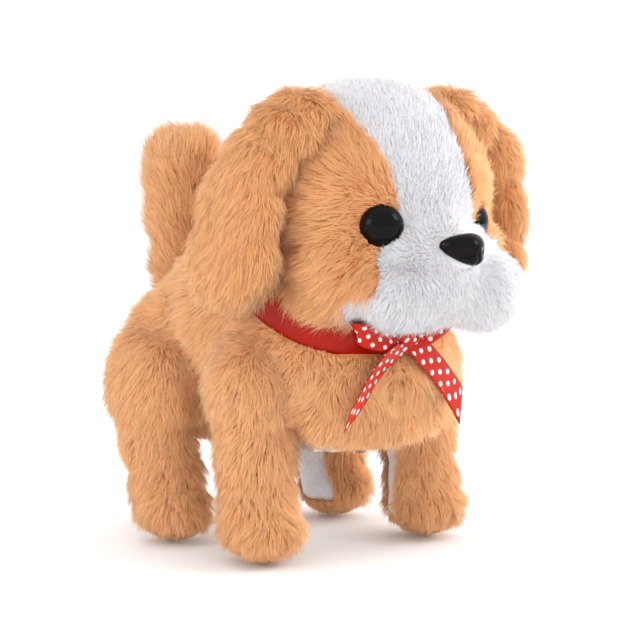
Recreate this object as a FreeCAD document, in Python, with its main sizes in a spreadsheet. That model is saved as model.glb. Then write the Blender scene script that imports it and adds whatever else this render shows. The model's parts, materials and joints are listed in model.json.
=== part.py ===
import FreeCAD, Part
import Sketcher
import math
import os
import re

from FreeCAD import Placement, Rotation, Vector

# A battery-driven plush puppy. Millimetres, +Z up, nose towards -Y, the puppy's left side at +X.
# The origin is on the floor, at the middle of the whole toy's footprint.

doc = FreeCAD.newDocument("plush_puppy")
sheet = doc.addObject("Spreadsheet::Sheet", "Sheet")

DIMENSIONS = {
    # moulded body shell
    "shell_half": 32.0, "wall": 2.0, "shell_front": -36.0, "shell_back": 49.0, "shell_step": 2.0,
    "shell_floor": 40.0, "front_roof": 84.0, "rear_roof": 95.0, "fit": 0.3, "running": 0.06,
    "keel_half": 20.0, "keel_top": 55.0, "hump_half": 26.0, "boss_x": 17.2, "boss_inset": 4.2,
    "boss_radius": 2.6,
    # hips, crank and linkage
    "hip_height": 64.0, "front_hip": -15.0, "rear_hip": 40.0, "crank_y": 12.0, "crank_throw": 2.0,
    "rocker_length": 9.0, "hub_radius": 4.0, "rod_pin_radius": 1.2, "rod_inner": 27.2, "rod_thick": 1.4,
    "lever_inner": 32.4, "lever_thick": 2.5, "lever_half": 5.0, "ankle_height": 8.0,
    "shaft_radius": 1.5, "crank_radius": 5.0, "crank_inner": 24.0, "crank_thick": 1.6,
    # spur gears
    "gear_module": 0.5, "pinion_teeth": 12.0, "wheel_teeth": 36.0, "gear_width": 3.0, "gear_gap": 1.0,
    "well_inner": 17.8, "well_outer": 22.8, "well_half": 8.4, "well_floor": 53.0, "well_wall": 1.2,
    "gear_plane": 10.2, "frame_plate": 2.0, "frame_y": 24.2, "frame_length": 39.0, "pin_radius": 0.75,
    "motor_length": 25.0, "motor_radius": 10.2, "motor_half_flat": 7.7,
    # cams on the crankshaft
    "drum_radius": 5.2, "drum_half": 6.0, "groove_width": 2.0, "nod_cam_radius": 4.0, "nod_cam_throw": 1.4,
    # battery bay
    "cell_radius": 7.25, "cell_length": 50.5, "cell_spacing": 7.5, "bay_half": 16.0, "bay_front": -22.0,
    "bay_back": 32.0, "bay_roof": 57.0, "bay_wall": 1.5, "door_thick": 1.6, "door_half": 18.0,
    "door_back": 42.0,
    "door_screw_y": 38.0, "screw_radius": 1.0,
    # switch
    "switch_y": -30.0, "switch_travel": 3.0, "knob_length": 3.0, "knob_depth": 2.6,
    # head
    "neck_y": -22.0, "neck_z": 78.0, "neck_rib": 14.0, "neck_rib_thick": 2.0,
    "head_y": -36.0, "head_z": 130.0, "head_rx": 43.0, "head_ry": 37.0, "head_rz": 38.0,
    "plush": 4.0, "skull": 26.0, "skull_wall": 2.0, "skull_base": 114.0, "nod_angle": 8.0,
    "jowl_x": 14.5, "jowl_y": -69.0, "jowl_z": 101.0, "jowl_r": 15.0,
    "bridge_y": -67.0, "bridge_z": 111.0, "bridge_r": 14.0,
    "eye_x": 22.6, "eye_y": -65.7, "eye_z": 121.3, "eye_r": 7.6, "post_r": 1.8, "post_length": 9.0,
    "nose_y": -83.5, "nose_z": 113.0, "nose_rx": 8.6, "nose_ry": 4.6, "nose_rz": 6.2, "blaze_half": 15.0,
    "ear_x": 56.0, "ear_y": -30.0, "ear_z": 127.0, "ear_rx": 7.0, "ear_ry": 21.0, "ear_rz": 35.0,
    "ear_lean": 12.0, "ear_root_x": 42.0, "ear_root_z": 156.0, "ear_root_rx": 13.5, "ear_root_ry": 17.0,
    "ear_root_rz": 8.5, "ear_droop": 35.0,
    # torso
    "back_y": 12.0, "back_z": 82.0, "back_rx": 41.0, "back_ry": 57.0, "back_rz": 34.0,
    "chest_y": -22.0, "chest_z": 69.0, "chest_rx": 40.0, "chest_ry": 33.0, "chest_rz": 30.5,
    "rump_y": 46.0, "rump_z": 71.0, "rump_rx": 43.0, "rump_ry": 31.0, "rump_rz": 32.0,
    "belly_z": 39.8,
    # tail
    "tail_axis_z": 91.2, "tail_y": 76.0, "tail_z": 122.0, "tail_rx": 11.0, "tail_ry": 12.0, "tail_rz": 31.0,
    # legs
    "leg_x": 39.0, "leg_radius": 12.5, "front_thigh": 17.0, "rear_thigh": 19.0, "foot_ry": 15.5,
    "foot_z": 12.0,
    "toe_reach": 5.0, "thigh_inner": 35.5, "calf_top": 34.0, "thigh_outer": 49.0, "hip_gap": 1.5,
    # ribbon
    "ribbon_width": 12.0, "ribbon_thick": 0.8, "ribbon_rx": 40.0, "ribbon_ry": 34.5, "ribbon_y": -22.0,
    "ribbon_z": 93.0, "ribbon_tilt": 26.0, "bow_y": -60.4, "bow_z": 75.6, "tail_length": 36.0,
    "tail_width": 10.0,
}
for row, (alias, value) in enumerate(DIMENSIONS.items(), start=1):
    sheet.set(f"A{row}", alias.replace("_", " "))
    sheet.set(f"B{row}", str(value))
    sheet.setAlias(f"B{row}", alias)
doc.recompute()

ALIAS = re.compile(r"\b(" + "|".join(DIMENSIONS) + r")\b")
ALONG_X = Rotation(Vector(0, 1, 0), 90)
ALONG_Y = Rotation(Vector(1, 0, 0), -90)
UPRIGHT = Rotation()
nodes = []


def dim(alias):
    """A driving dimension's value, read from the sheet."""
    return float(sheet.get(alias))


def bind(obj, prop, expression):
    """Binds a property to a formula of sheet aliases."""
    obj.setExpression(prop, ALIAS.sub(r"Sheet.\1", str(expression)))


def place(obj, x, y, z, rotation=UPRIGHT):
    obj.Placement = Placement(Vector(), rotation)
    for axis, expression in zip("xyz", (x, y, z)):
        bind(obj, "Placement.Base." + axis, expression)
    return obj


def node(obj, label):
    """Marks an object as a sub-part of the toy: its Label names its file."""
    obj.Label = label
    nodes.append(obj)
    return obj


def block(name, x0, x1, y0, y1, z0, z1):
    box = doc.addObject("Part::Box", name)
    bind(box, "Length", f"({x1}) - ({x0})")
    bind(box, "Width", f"({y1}) - ({y0})")
    bind(box, "Height", f"({z1}) - ({z0})")
    return place(box, x0, y0, z0)


def rod(name, radius, length, x, y, z, rotation=UPRIGHT):
    """A cylinder from (x, y, z) along the rotated Z axis."""
    cylinder = doc.addObject("Part::Cylinder", name)
    bind(cylinder, "Radius", radius)
    bind(cylinder, "Height", length)
    return place(cylinder, x, y, z, rotation)


def rod_x(name, radius, x0, x1, y, z):
    return rod(name, radius, f"({x1}) - ({x0})", x0, y, z, ALONG_X)


def ball(name, rx, ry, rz, x, y, z, rotation=UPRIGHT):
    ellipsoid = doc.addObject("Part::Ellipsoid", name)
    bind(ellipsoid, "Radius1", rz)
    bind(ellipsoid, "Radius2", rx)
    bind(ellipsoid, "Radius3", ry)
    return place(ellipsoid, x, y, z, rotation)


def sphere(name, radius, x, y, z):
    globe = doc.addObject("Part::Sphere", name)
    bind(globe, "Radius", radius)
    return place(globe, x, y, z)


def mirrored(name, original):
    """The same form on the other side of the toy's middle plane."""
    twin = doc.addObject("Part::Mirroring", name)
    twin.Source = original
    twin.Base = Vector()
    twin.Normal = Vector(1, 0, 0)
    return twin


def fuse(name, *parts):
    joined = doc.addObject("Part::MultiFuse", name)
    joined.Shapes = list(parts)
    return joined


def cut(name, base, *tools):
    result = doc.addObject("Part::Cut", name)
    result.Base = base
    result.Tool = tools[0] if len(tools) == 1 else fuse(name + "_tools", *tools)
    return result


def common(name, *parts):
    shared = doc.addObject("Part::MultiCommon", name)
    shared.Shapes = list(parts)
    return shared


def solid(name, shape):
    """A sub-part whose form is worked out in code from the sheet's values."""
    feature = doc.addObject("Part::Feature", name)
    feature.Shape = shape
    return feature


# ---- PartDesign helpers: rectangles and circles, centred on their sketch, on a body's own planes ----


def plane_of(body, role):
    return next(f for f in body.Origin.OriginFeatures if f.Role == role)


def sketch_on(body, role, u, v, height):
    """A sketch on an origin plane, moved to (u, v) in the plane and to the height above it."""
    sketch = body.newObject("Sketcher::SketchObject", body.Name + "_sketch")
    sketch.AttachmentSupport = [(plane_of(body, role), "")]
    sketch.MapMode = "FlatFace"
    for axis, expression in zip("xyz", (u, v, height)):
        bind(sketch, "AttachmentOffset.Base." + axis, expression)
    return sketch


def rectangle(sketch, width, height):
    corners = [Vector(-1, -1, 0), Vector(1, -1, 0), Vector(1, 1, 0), Vector(-1, 1, 0)]
    for i in range(4):
        sketch.addGeometry(Part.LineSegment(corners[i], corners[(i + 1) % 4]), False)
    for i in range(4):
        sketch.addConstraint(Sketcher.Constraint("Coincident", i, 2, (i + 1) % 4, 1))
    for i in (0, 2):
        sketch.addConstraint(Sketcher.Constraint("Horizontal", i))
        sketch.addConstraint(Sketcher.Constraint("Vertical", i + 1))
    sketch.addConstraint(Sketcher.Constraint("Symmetric", 0, 1, 2, 1, -1, 1))
    for name, first, second in (("DistanceX", (0, 1), (0, 2)), ("DistanceY", (1, 1), (1, 2))):
        index = sketch.addConstraint(Sketcher.Constraint(name, *first, *second, 2.0))
        sketch.renameConstraint(index, name + "_size")
        bind(sketch, f"Constraints.{name}_size", width if name == "DistanceX" else height)


def circle(sketch, radius):
    sketch.addGeometry(Part.Circle(Vector(), Vector(0, 0, 1), 1.0), False)
    sketch.addConstraint(Sketcher.Constraint("Coincident", 0, 3, -1, 1))
    index = sketch.addConstraint(Sketcher.Constraint("Radius", 0, 1.0))
    sketch.renameConstraint(index, "size")
    bind(sketch, "Constraints.size", radius)


def feature(body, kind, role, u, v, low, high, size):
    """A Pad or Pocket between two heights over an origin plane. size is (width, height) or a radius."""
    sketch = sketch_on(body, role, u, v, low)
    if isinstance(size, tuple):
        rectangle(sketch, *size)
    else:
        circle(sketch, size)
    made = body.newObject("PartDesign::" + kind, f"{body.Name}_{kind.lower()}")
    made.Profile = sketch
    bind(made, "Length", f"({high}) - ({low})")
    if kind == "Pocket":
        made.Reversed = True
    doc.recompute()
    return made


def design_body(label):
    return node(doc.addObject("PartDesign::Body", label), label)


# ---- moulded body shell, in two halves that meet at the height of the hips and crankshaft ----

MIDDLE_Y = "(shell_front + shell_back) / 2"
LENGTH = "shell_back - shell_front"
FRONT_MIDDLE = "(shell_front + shell_step) / 2"
REAR_MIDDLE = "(shell_step + shell_back) / 2"

lower = design_body("chassis_lower")
feature(lower, "Pad", "XY_Plane", 0, MIDDLE_Y, "keel_top", "hip_height", ("2 * shell_half", LENGTH))
feature(lower, "Pad", "XY_Plane", 0, MIDDLE_Y, "shell_floor", "keel_top", ("2 * keel_half", LENGTH))
feature(lower, "Pocket", "XY_Plane", 0, MIDDLE_Y, "keel_top + wall", "hip_height",
        ("2 * (shell_half - wall)", f"{LENGTH} - 2 * wall"))
feature(lower, "Pocket", "XY_Plane", 0, MIDDLE_Y, "shell_floor + wall", "keel_top + wall",
        ("2 * (keel_half - wall)", f"{LENGTH} - 2 * wall"))
BAY_MIDDLE = "(bay_front + bay_back) / 2"
BAY_LENGTH = "bay_back - bay_front"
feature(lower, "Pad", "XY_Plane", 0, BAY_MIDDLE, "shell_floor", "bay_roof + bay_wall - 0.3",
        ("2 * (bay_half + bay_wall)", f"{BAY_LENGTH} + 2 * bay_wall"))
feature(lower, "Pocket", "XY_Plane", 0, BAY_MIDDLE, "shell_floor", "bay_roof", ("2 * bay_half", BAY_LENGTH))
# door screw boss, left crankshaft rib and the switch slot
feature(lower, "Pad", "XY_Plane", 0, "door_screw_y", "shell_floor", "shell_floor + 10", 3.5)
feature(lower, "Pocket", "XY_Plane", 0, "door_screw_y", "shell_floor", "shell_floor + 8", "screw_radius")
feature(lower, "Pad", "XY_Plane", "-22.2", "crank_y", "keel_top", "hip_height", ("1.4", "12"))
feature(lower, "Pocket", "XY_Plane", 0, "switch_y", "shell_floor", "shell_floor + wall",
        ("knob_length + switch_travel + 2 * fit", "knob_depth + 2 * fit"))
# a well in the step of the floor for the bottom of the output gear
feature(lower, "Pad", "XY_Plane", "(well_inner + well_outer) / 2 - fit / 2", "crank_y", "well_floor",
        "keel_top + 1",
        ("well_outer - well_inner + fit", "2 * well_half"))
feature(lower, "Pocket", "XY_Plane", "(well_inner + well_outer - well_wall) / 2", "crank_y",
        "well_floor + well_wall",
        "keel_top + wall", ("well_outer - well_wall - well_inner", "2 * (well_half - well_wall)"))

upper = design_body("chassis_upper")
feature(upper, "Pad", "XY_Plane", 0, MIDDLE_Y, "hip_height", "front_roof", ("2 * shell_half", LENGTH))
feature(upper, "Pad", "XY_Plane", 0, REAR_MIDDLE, "front_roof - wall", "rear_roof",
        ("2 * hump_half", "shell_back - shell_step"))
feature(upper, "Pocket", "XY_Plane", 0, MIDDLE_Y, "hip_height", "front_roof - wall",
        ("2 * (shell_half - wall)", f"{LENGTH} - 2 * wall"))
feature(upper, "Pocket", "XY_Plane", 0, REAR_MIDDLE, "hip_height", "rear_roof - wall",
        ("2 * (hump_half - wall)", "shell_back - shell_step - 2 * wall"))
# neck opening in the front roof, and the two ribs that hold the neck pin
feature(upper, "Pocket", "XY_Plane", 0, FRONT_MIDDLE + " - 2", "front_roof - wall", "front_roof",
        ("2 * neck_rib - 0.6", "shell_step - shell_front - 10"))
for side in (-1, 1):
    feature(upper, "Pad", "XY_Plane", f"{side} * (neck_rib + neck_rib_thick / 2)", "neck_y",
            "neck_z - 5", "front_roof - wall", ("neck_rib_thick", "10"))


def bored(label, base, *bores):
    """The body with running bores for the hips, crank, pins or tail shaft cut through it."""
    nodes.remove(base)
    base.Label = label + "_moulding"
    return node(cut(label + "_bored", base, *bores), label)


def hip_bores(prefix):
    return [rod_x(f"{prefix}_{end}", "hub_radius + running", "-shell_half - 5", "shell_half + 5", end,
                  "hip_height")
            for end in ("front_hip", "rear_hip")]


crank_bore = rod_x("crank_bore", "shaft_radius + running", "-shell_half + wall + 1", 0, "crank_y",
                   "hip_height")
chassis_lower = bored("chassis_lower", lower, crank_bore, *hip_bores("lower_bore"))
neck_bore = rod_x("neck_bore", "shaft_radius", "-neck_rib - 4", "neck_rib + 4", "neck_y", "neck_z")
tail_bore = rod("tail_bore", "shaft_radius + running", "70", 0, "shell_step - 5", "tail_axis_z", ALONG_Y)
chassis_upper = bored("chassis_upper", upper, neck_bore, tail_bore, *hip_bores("upper_bore"))

# four screws hold the halves together, in bosses at the front and back walls
CORNERS = [(x, y) for x in ("-boss_x", "boss_x") for y in ("shell_front + boss_inset",
                                                           "shell_back - boss_inset")]
shell_screws = []
for i, (x, y) in enumerate(CORNERS):
    shank = rod(f"shell_screw_shank_{i}", "screw_radius", "hip_height - shell_floor + 6", x, y, "shell_floor")
    cap = rod(f"shell_screw_cap_{i}", 2.0, 1.2, x, y, "shell_floor")
    shell_screws.append(fuse(f"shell_screw_{i}", shank, cap))
screws = node(doc.addObject("Part::Compound", "shell_screws"), "shell_screws")
screws.Links = shell_screws


def with_bosses(label, base, z0, z1, screw_cut):
    """The shell half with its four screw bosses added and their holes cut."""
    nodes.remove(base)
    base.Label = label + "_plain"
    posts = [rod(f"{label}_boss_{i}", "boss_radius", f"({z1}) - ({z0})", x, y, z0) for i,
             (x, y) in enumerate(CORNERS)]
    return node(cut(label + "_node", fuse(label + "_posts", base, *posts), screw_cut), label)


chassis_lower = with_bosses("chassis_lower", chassis_lower, "shell_floor + 1", "hip_height", screws)
chassis_upper = with_bosses("chassis_upper", chassis_upper, "hip_height", "hip_height + 10", screws)

# ---- battery door, its screw, the cells and their contacts ----

door = design_body("battery_door")
DOOR_MIDDLE = "(bay_front - 2 + door_back) / 2"
feature(door, "Pad", "XY_Plane", 0, DOOR_MIDDLE, "shell_floor - door_thick", "shell_floor",
        ("2 * door_half", "door_back - bay_front + 2"))
feature(door, "Pad", "XY_Plane", 0, BAY_MIDDLE, "shell_floor - 0.5", "shell_floor + 1.5",
        ("2 * (bay_half - fit)", f"{BAY_LENGTH} - 2 * fit"))
feature(door, "Pocket", "XY_Plane", 0, "door_screw_y", "shell_floor - door_thick", "shell_floor",
        "screw_radius + 0.3")
feature(door, "Pocket", "XY_Plane", 0, "door_screw_y", "shell_floor - door_thick", "shell_floor - 0.8", 2.3)
door_screw = node(fuse("door_screw", rod("door_screw_shank", "screw_radius - 0.1", 7, 0, "door_screw_y",
                                         "shell_floor - 0.9"),
                       rod("door_screw_cap", 2.1, 0.7, 0, "door_screw_y", "shell_floor - door_thick + 0.1")),
                  "battery_door_screw")

CELL_FRONT, CELL_Z, NUB = "bay_back - 0.4 - cell_length", "shell_floor + 1.7 + cell_radius", 1.0
cells = []
for side in (-1, 1):
    # the two cells lie head to tail
    can_start = CELL_FRONT if side > 0 else f"{CELL_FRONT} + {NUB}"
    nub_start = f"{CELL_FRONT} + cell_length - {NUB}" if side > 0 else CELL_FRONT
    can = rod(f"cell_can_{side + 1}", "cell_radius", f"cell_length - {NUB}", f"{side} * cell_spacing",
              can_start, CELL_Z, ALONG_Y)
    nub = rod(f"cell_nub_{side + 1}", 2.7, NUB, f"{side} * cell_spacing", nub_start, CELL_Z, ALONG_Y)
    cells.append(fuse(f"cell_{side + 1}", can, nub))
batteries = node(doc.addObject("Part::Compound", "batteries"), "batteries")
batteries.Links = cells
plates = [block("contact_back", "-13", "13", "bay_back - 0.4", "bay_back - 0.05", f"{CELL_Z} - 5",
                f"{CELL_Z} + 5")]
for side in (-1, 1):
    plates.append(block(f"contact_front_{side + 1}", f"{side} * cell_spacing - 5",
                        f"{side} * cell_spacing + 5",
                        "bay_front + 0.05", "bay_front + 0.4", f"{CELL_Z} - 5", f"{CELL_Z} + 5"))
contacts = node(doc.addObject("Part::Compound", "battery_contacts"), "battery_contacts")
contacts.Links = plates


def coil_spring(x):
    """A battery spring pressed flat by its cell: four turns of round wire, one against the next, along Y."""
    wire_radius, coil_radius, turns = 0.42, 3.4, 4
    start = dim("bay_front") + 0.45
    room = dim("bay_back") - 0.4 - dim("cell_length") - 0.05 - start
    pitch = (room - 2 * wire_radius) / (turns - 1)
    cell_z = dim("shell_floor") + 1.7 + dim("cell_radius")
    coils = [Part.makeTorus(coil_radius, wire_radius, Vector(x, start + wire_radius + i * pitch, cell_z),
                            Vector(0, 1, 0))
             for i in range(turns)]
    return coils[0].fuse(coils[1:])


spring_pair = Part.makeCompound([coil_spring(side * dim("cell_spacing")) for side in (-1, 1)])
springs = node(solid("battery_springs", spring_pair), "battery_springs")

# ---- gearbox: a U-shaped frame, a motor and three spur reductions to the crankshaft ----

MODULE = dim("gear_module")
CENTRES = MODULE * (dim("pinion_teeth") + dim("wheel_teeth")) / 2
PLANES = [dim("gear_plane") + i * (dim("gear_width") + dim("gear_gap")) for i in range(3)]


def stepped(origin, degrees):
    """The next shaft's (y, z), one centre distance away at that angle above +Y."""
    angle = math.radians(degrees)
    return (origin[0] + CENTRES * math.cos(angle), origin[1] + CENTRES * math.sin(angle))


CRANK_AT = (dim("crank_y"), dim("hip_height"))
SECOND_ANGLE, FIRST_ANGLE, MOTOR_ANGLE = 35.0, 15.0, 140.0
SECOND_AT = stepped(CRANK_AT, SECOND_ANGLE)
FIRST_AT = stepped(SECOND_AT, FIRST_ANGLE)
MOTOR_AT = stepped(FIRST_AT, MOTOR_ANGLE)


def gear(teeth, centre, x0, width, tooth_at, addendum, bore):
    """A spur gear about an axis along X, with one tooth centred tooth_at degrees above +Y."""
    pressure, backlash, dedendum = math.radians(20), 0.10, 1.2
    pitch = MODULE * teeth / 2
    base = pitch * math.cos(pressure)
    tip, root = pitch + addendum * MODULE, pitch - dedendum * MODULE

    def involute(radius):
        return math.tan(math.acos(base / radius)) - math.acos(base / radius)

    half_tooth = math.pi / (2 * teeth) - backlash / (2 * pitch)
    flank = [max(base, root) + (tip - max(base, root)) * k / 4 for k in range(5)]
    sides = [(r, half_tooth + involute(pitch) - involute(r)) for r in flank]
    outline = []
    for k in range(int(teeth)):
        middle = math.radians(tooth_at) + 2 * math.pi * k / teeth
        right = [(root, sides[0][1])] + sides
        for radius, half in [(r, -h) for r, h in right] + [(r, h) for r, h in reversed(right)]:
            outline.append(Vector(0, radius * math.cos(middle + half), radius * math.sin(middle + half)))
    outline.append(outline[0])
    blank = Part.Face(Part.makePolygon(outline)).extrude(Vector(width, 0, 0))
    blank = blank.cut(Part.makeCylinder(bore, width, Vector(), Vector(1, 0, 0)))
    blank.translate(Vector(x0, centre[0], centre[1]))
    return blank


def wheel(centre, plane, mesh_angle, bore):
    """A large gear with a tooth gap facing its pinion."""
    teeth = dim("wheel_teeth")
    return gear(teeth, centre, PLANES[plane], dim("gear_width"), mesh_angle + 180 / teeth, 0.7, bore)


def pinion(centre, plane, mesh_angle, bore, x0=None):
    """A small gear with a tooth facing its wheel, wide enough to reach the wheel beside it if x0 says so."""
    start = PLANES[plane] if x0 is None else x0
    return gear(dim("pinion_teeth"), centre, start, PLANES[plane] + dim("gear_width") - start, mesh_angle,
                0.9, bore)


PIN_BORE = dim("pin_radius") + dim("running")
SHAFT = dim("shaft_radius")
GEAR_JOIN = dim("gear_width") - 0.01
output_gear = node(solid("output_gear_shape", wheel(CRANK_AT, 2, SECOND_ANGLE, SHAFT)), "output_gear")
second_gear = node(solid("second_gear_shape", wheel(SECOND_AT, 1, FIRST_ANGLE, PIN_BORE).fuse(
    pinion(SECOND_AT, 2, SECOND_ANGLE + 180, PIN_BORE, PLANES[1] + GEAR_JOIN))), "second_gear")
first_gear = node(solid("first_gear_shape", wheel(FIRST_AT, 0, MOTOR_ANGLE, PIN_BORE).fuse(
    pinion(FIRST_AT, 1, FIRST_ANGLE + 180, PIN_BORE, PLANES[0] + GEAR_JOIN))), "first_gear")
MOTOR_SHAFT = 1.0
motor_pinion = node(solid("motor_pinion_shape", pinion(MOTOR_AT, 0, MOTOR_ANGLE + 180, MOTOR_SHAFT)),
                    "motor_pinion")

FRAME_X0 = "(gear_plane - 0.5 - frame_plate)"
FRAME_X1 = "(gear_plane + 3 * gear_width + 2 * gear_gap + 0.5)"
FRAME_X2 = f"({FRAME_X1} + frame_plate - 0.6)"
FRAME_Z0, FRAME_Z1 = "(bay_roof + bay_wall - 0.3)", "(rear_roof - wall - 1.6)"
FRAME_FACE = ("frame_length", f"{FRAME_Z1} - {FRAME_Z0}")
FRAME_Z = f"({FRAME_Z0} + {FRAME_Z1}) / 2"
gearbox = design_body("gearbox_frame")
feature(gearbox, "Pad", "YZ_Plane", "frame_y", FRAME_Z, FRAME_X0, "gear_plane - 0.5", FRAME_FACE)
feature(gearbox, "Pad", "YZ_Plane", "frame_y", FRAME_Z, FRAME_X1, FRAME_X2, FRAME_FACE)
feature(gearbox, "Pad", "XY_Plane", f"({FRAME_X0} + {FRAME_X2}) / 2", "frame_y", f"{FRAME_Z1} - 1.5",
        FRAME_Z1,
        (f"{FRAME_X2} - {FRAME_X0}", "24"))
nodes.remove(gearbox)
gearbox.Label = "gearbox_frame_plates"


def axle(name, radius, x0, x1, centre):
    return solid(name, Part.makeCylinder(radius, x1 - x0, Vector(x0, *centre), Vector(1, 0, 0)))


PLATE_IN = dim("gear_plane") - 0.5
PLATE_OUT = dim("gear_plane") + 3 * dim("gear_width") + 2 * dim("gear_gap") + 0.5
PLATE_T, PLATE_T2 = dim("frame_plate"), dim("frame_plate") - 0.6
PIN = dim("pin_radius")
pins = [axle(f"gear_pin_{i}", PIN, PLATE_IN - PLATE_T, PLATE_OUT + PLATE_T2, at)
        for i, at in enumerate((SECOND_AT, FIRST_AT))]
gear_pins = node(doc.addObject("Part::Compound", "gear_pins"), "gear_pins")
gear_pins.Links = pins
BUSH_WALL = 0.9
crank_window = axle("crank_window", SHAFT + BUSH_WALL, PLATE_IN - PLATE_T - 1, PLATE_OUT + PLATE_T2 + 1,
                    CRANK_AT)
motor_window = axle("motor_window", 3.2, PLATE_IN - PLATE_T - 1, PLATE_IN + 1, MOTOR_AT)
node(cut("gearbox_frame_bored", gearbox, gear_pins, crank_window, motor_window), "gearbox_frame")


def bush(x0, thick):
    centre = Vector(x0, *CRANK_AT)
    outer = Part.makeCylinder(SHAFT + BUSH_WALL, thick, centre, Vector(1, 0, 0))
    return outer.cut(Part.makeCylinder(SHAFT + dim("running"), thick, centre, Vector(1, 0, 0)))


bush_pair = Part.makeCompound([bush(PLATE_IN - PLATE_T, PLATE_T), bush(PLATE_OUT, PLATE_T2)])
crank_bushes = node(solid("crank_bushes_shape", bush_pair), "crank_bushes")


def motor_can():
    """A small flat-sided can motor with a boss at its shaft end."""
    x1 = PLATE_IN - PLATE_T
    x0 = x1 - dim("motor_length")
    at = Vector(x0, *MOTOR_AT)
    can = Part.makeCylinder(dim("motor_radius"), x1 - x0, at, Vector(1, 0, 0))
    flats = Part.makeBox(x1 - x0, 2 * dim("motor_radius"), 2 * dim("motor_half_flat"),
                         Vector(x0, MOTOR_AT[0] - dim("motor_radius"), MOTOR_AT[1] - dim("motor_half_flat")))
    boss = Part.makeCylinder(3.1, PLATE_T - 0.3, Vector(x1, *MOTOR_AT), Vector(1, 0, 0))
    hole = Part.makeCylinder(MOTOR_SHAFT + dim("running"), 12, Vector(x1 - 8, *MOTOR_AT), Vector(1, 0, 0))
    return can.common(flats).fuse(boss).cut(hole)


motor = node(solid("motor_shape", motor_can()), "motor")
motor_shaft = node(axle("motor_shaft_shape", MOTOR_SHAFT, PLATE_IN - PLATE_T - 7,
                        PLANES[0] + dim("gear_width"), MOTOR_AT),
                   "motor_shaft")

# ---- crankshaft with its two crank discs, the tail cam and the nod cam ----

CRANK_END = dim("crank_inner") + dim("crank_thick")
crankshaft = node(axle("crankshaft_shape", SHAFT, -CRANK_END, CRANK_END, CRANK_AT), "crankshaft")
for side, name in ((-1, "right"), (1, "left")):
    # the cranks stand half a turn apart, and each pin stops just short of the slot in its tie rod
    inner, outer = ("crank_inner", "crank_inner + crank_thick")
    x0, x1 = (inner, outer) if side > 0 else (f"-({outer})", f"-{inner}")
    p0, p1 = (outer, "rod_inner - fit") if side > 0 else ("-(rod_inner - fit)", f"-({outer})")
    disc = rod_x(f"crank_disc_{name}", "crank_radius", x0, x1, "crank_y", "hip_height")
    crank_pin = rod_x(f"crank_pin_{name}", "rod_pin_radius", p0, p1, "crank_y",
                      f"hip_height + {side} * crank_throw")
    hole = rod_x(f"crank_hole_{name}", "shaft_radius", x0, x1, "crank_y", "hip_height")
    node(cut(f"crank_{name}_cut", fuse(f"crank_{name}_solid", disc, crank_pin), hole), f"crank_{name}")


def cam_drum():
    """A drum with a slanted groove for the tail arm, and an eccentric beside it for the neck lever."""
    centre = Vector(-dim("drum_half"), *CRANK_AT)
    drum = Part.makeCylinder(dim("drum_radius"), 2 * dim("drum_half"), centre, Vector(1, 0, 0))
    slant = math.degrees(math.atan2(dim("drum_half") - dim("groove_width") / 2 - 1.6, dim("drum_radius")))
    depth = 1.6
    ring = Part.makeCylinder(9, dim("groove_width"), Vector(0, 0, -dim("groove_width") / 2))
    ring = ring.cut(Part.makeCylinder(dim("drum_radius") - depth, dim("groove_width"),
                                      Vector(0, 0, -dim("groove_width") / 2)))
    ring.Placement = Placement(Vector(0, *CRANK_AT), Rotation(Vector(0, 1, 0), 90 - slant))
    throw = Vector(0, dim("nod_cam_throw"), 0)
    eccentric = Part.makeCylinder(dim("nod_cam_radius"), 4.0, centre - Vector(4.0, 0, 0) + throw,
                                  Vector(1, 0, 0))
    hole = Part.makeCylinder(SHAFT, 40, Vector(-20, *CRANK_AT), Vector(1, 0, 0))
    return drum.cut(ring).fuse(eccentric).cut(hole)


cam = node(solid("cam_drum_shape", cam_drum()), "cam_drum")

# ---- legs: a lever with its hub and rocker in one moulding, in a plush sleeve ----

LEGS = [(f"{end[0]}{name[0]}", side, f"{end}_hip", f"{end}_thigh")
        for end in ("front", "rear") for side, name in ((1, "left"), (-1, "right"))]


def span(side, near, far):
    """An interval of X on one side of the toy."""
    return (near, far) if side > 0 else (f"-({far})", f"-({near})")


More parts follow.
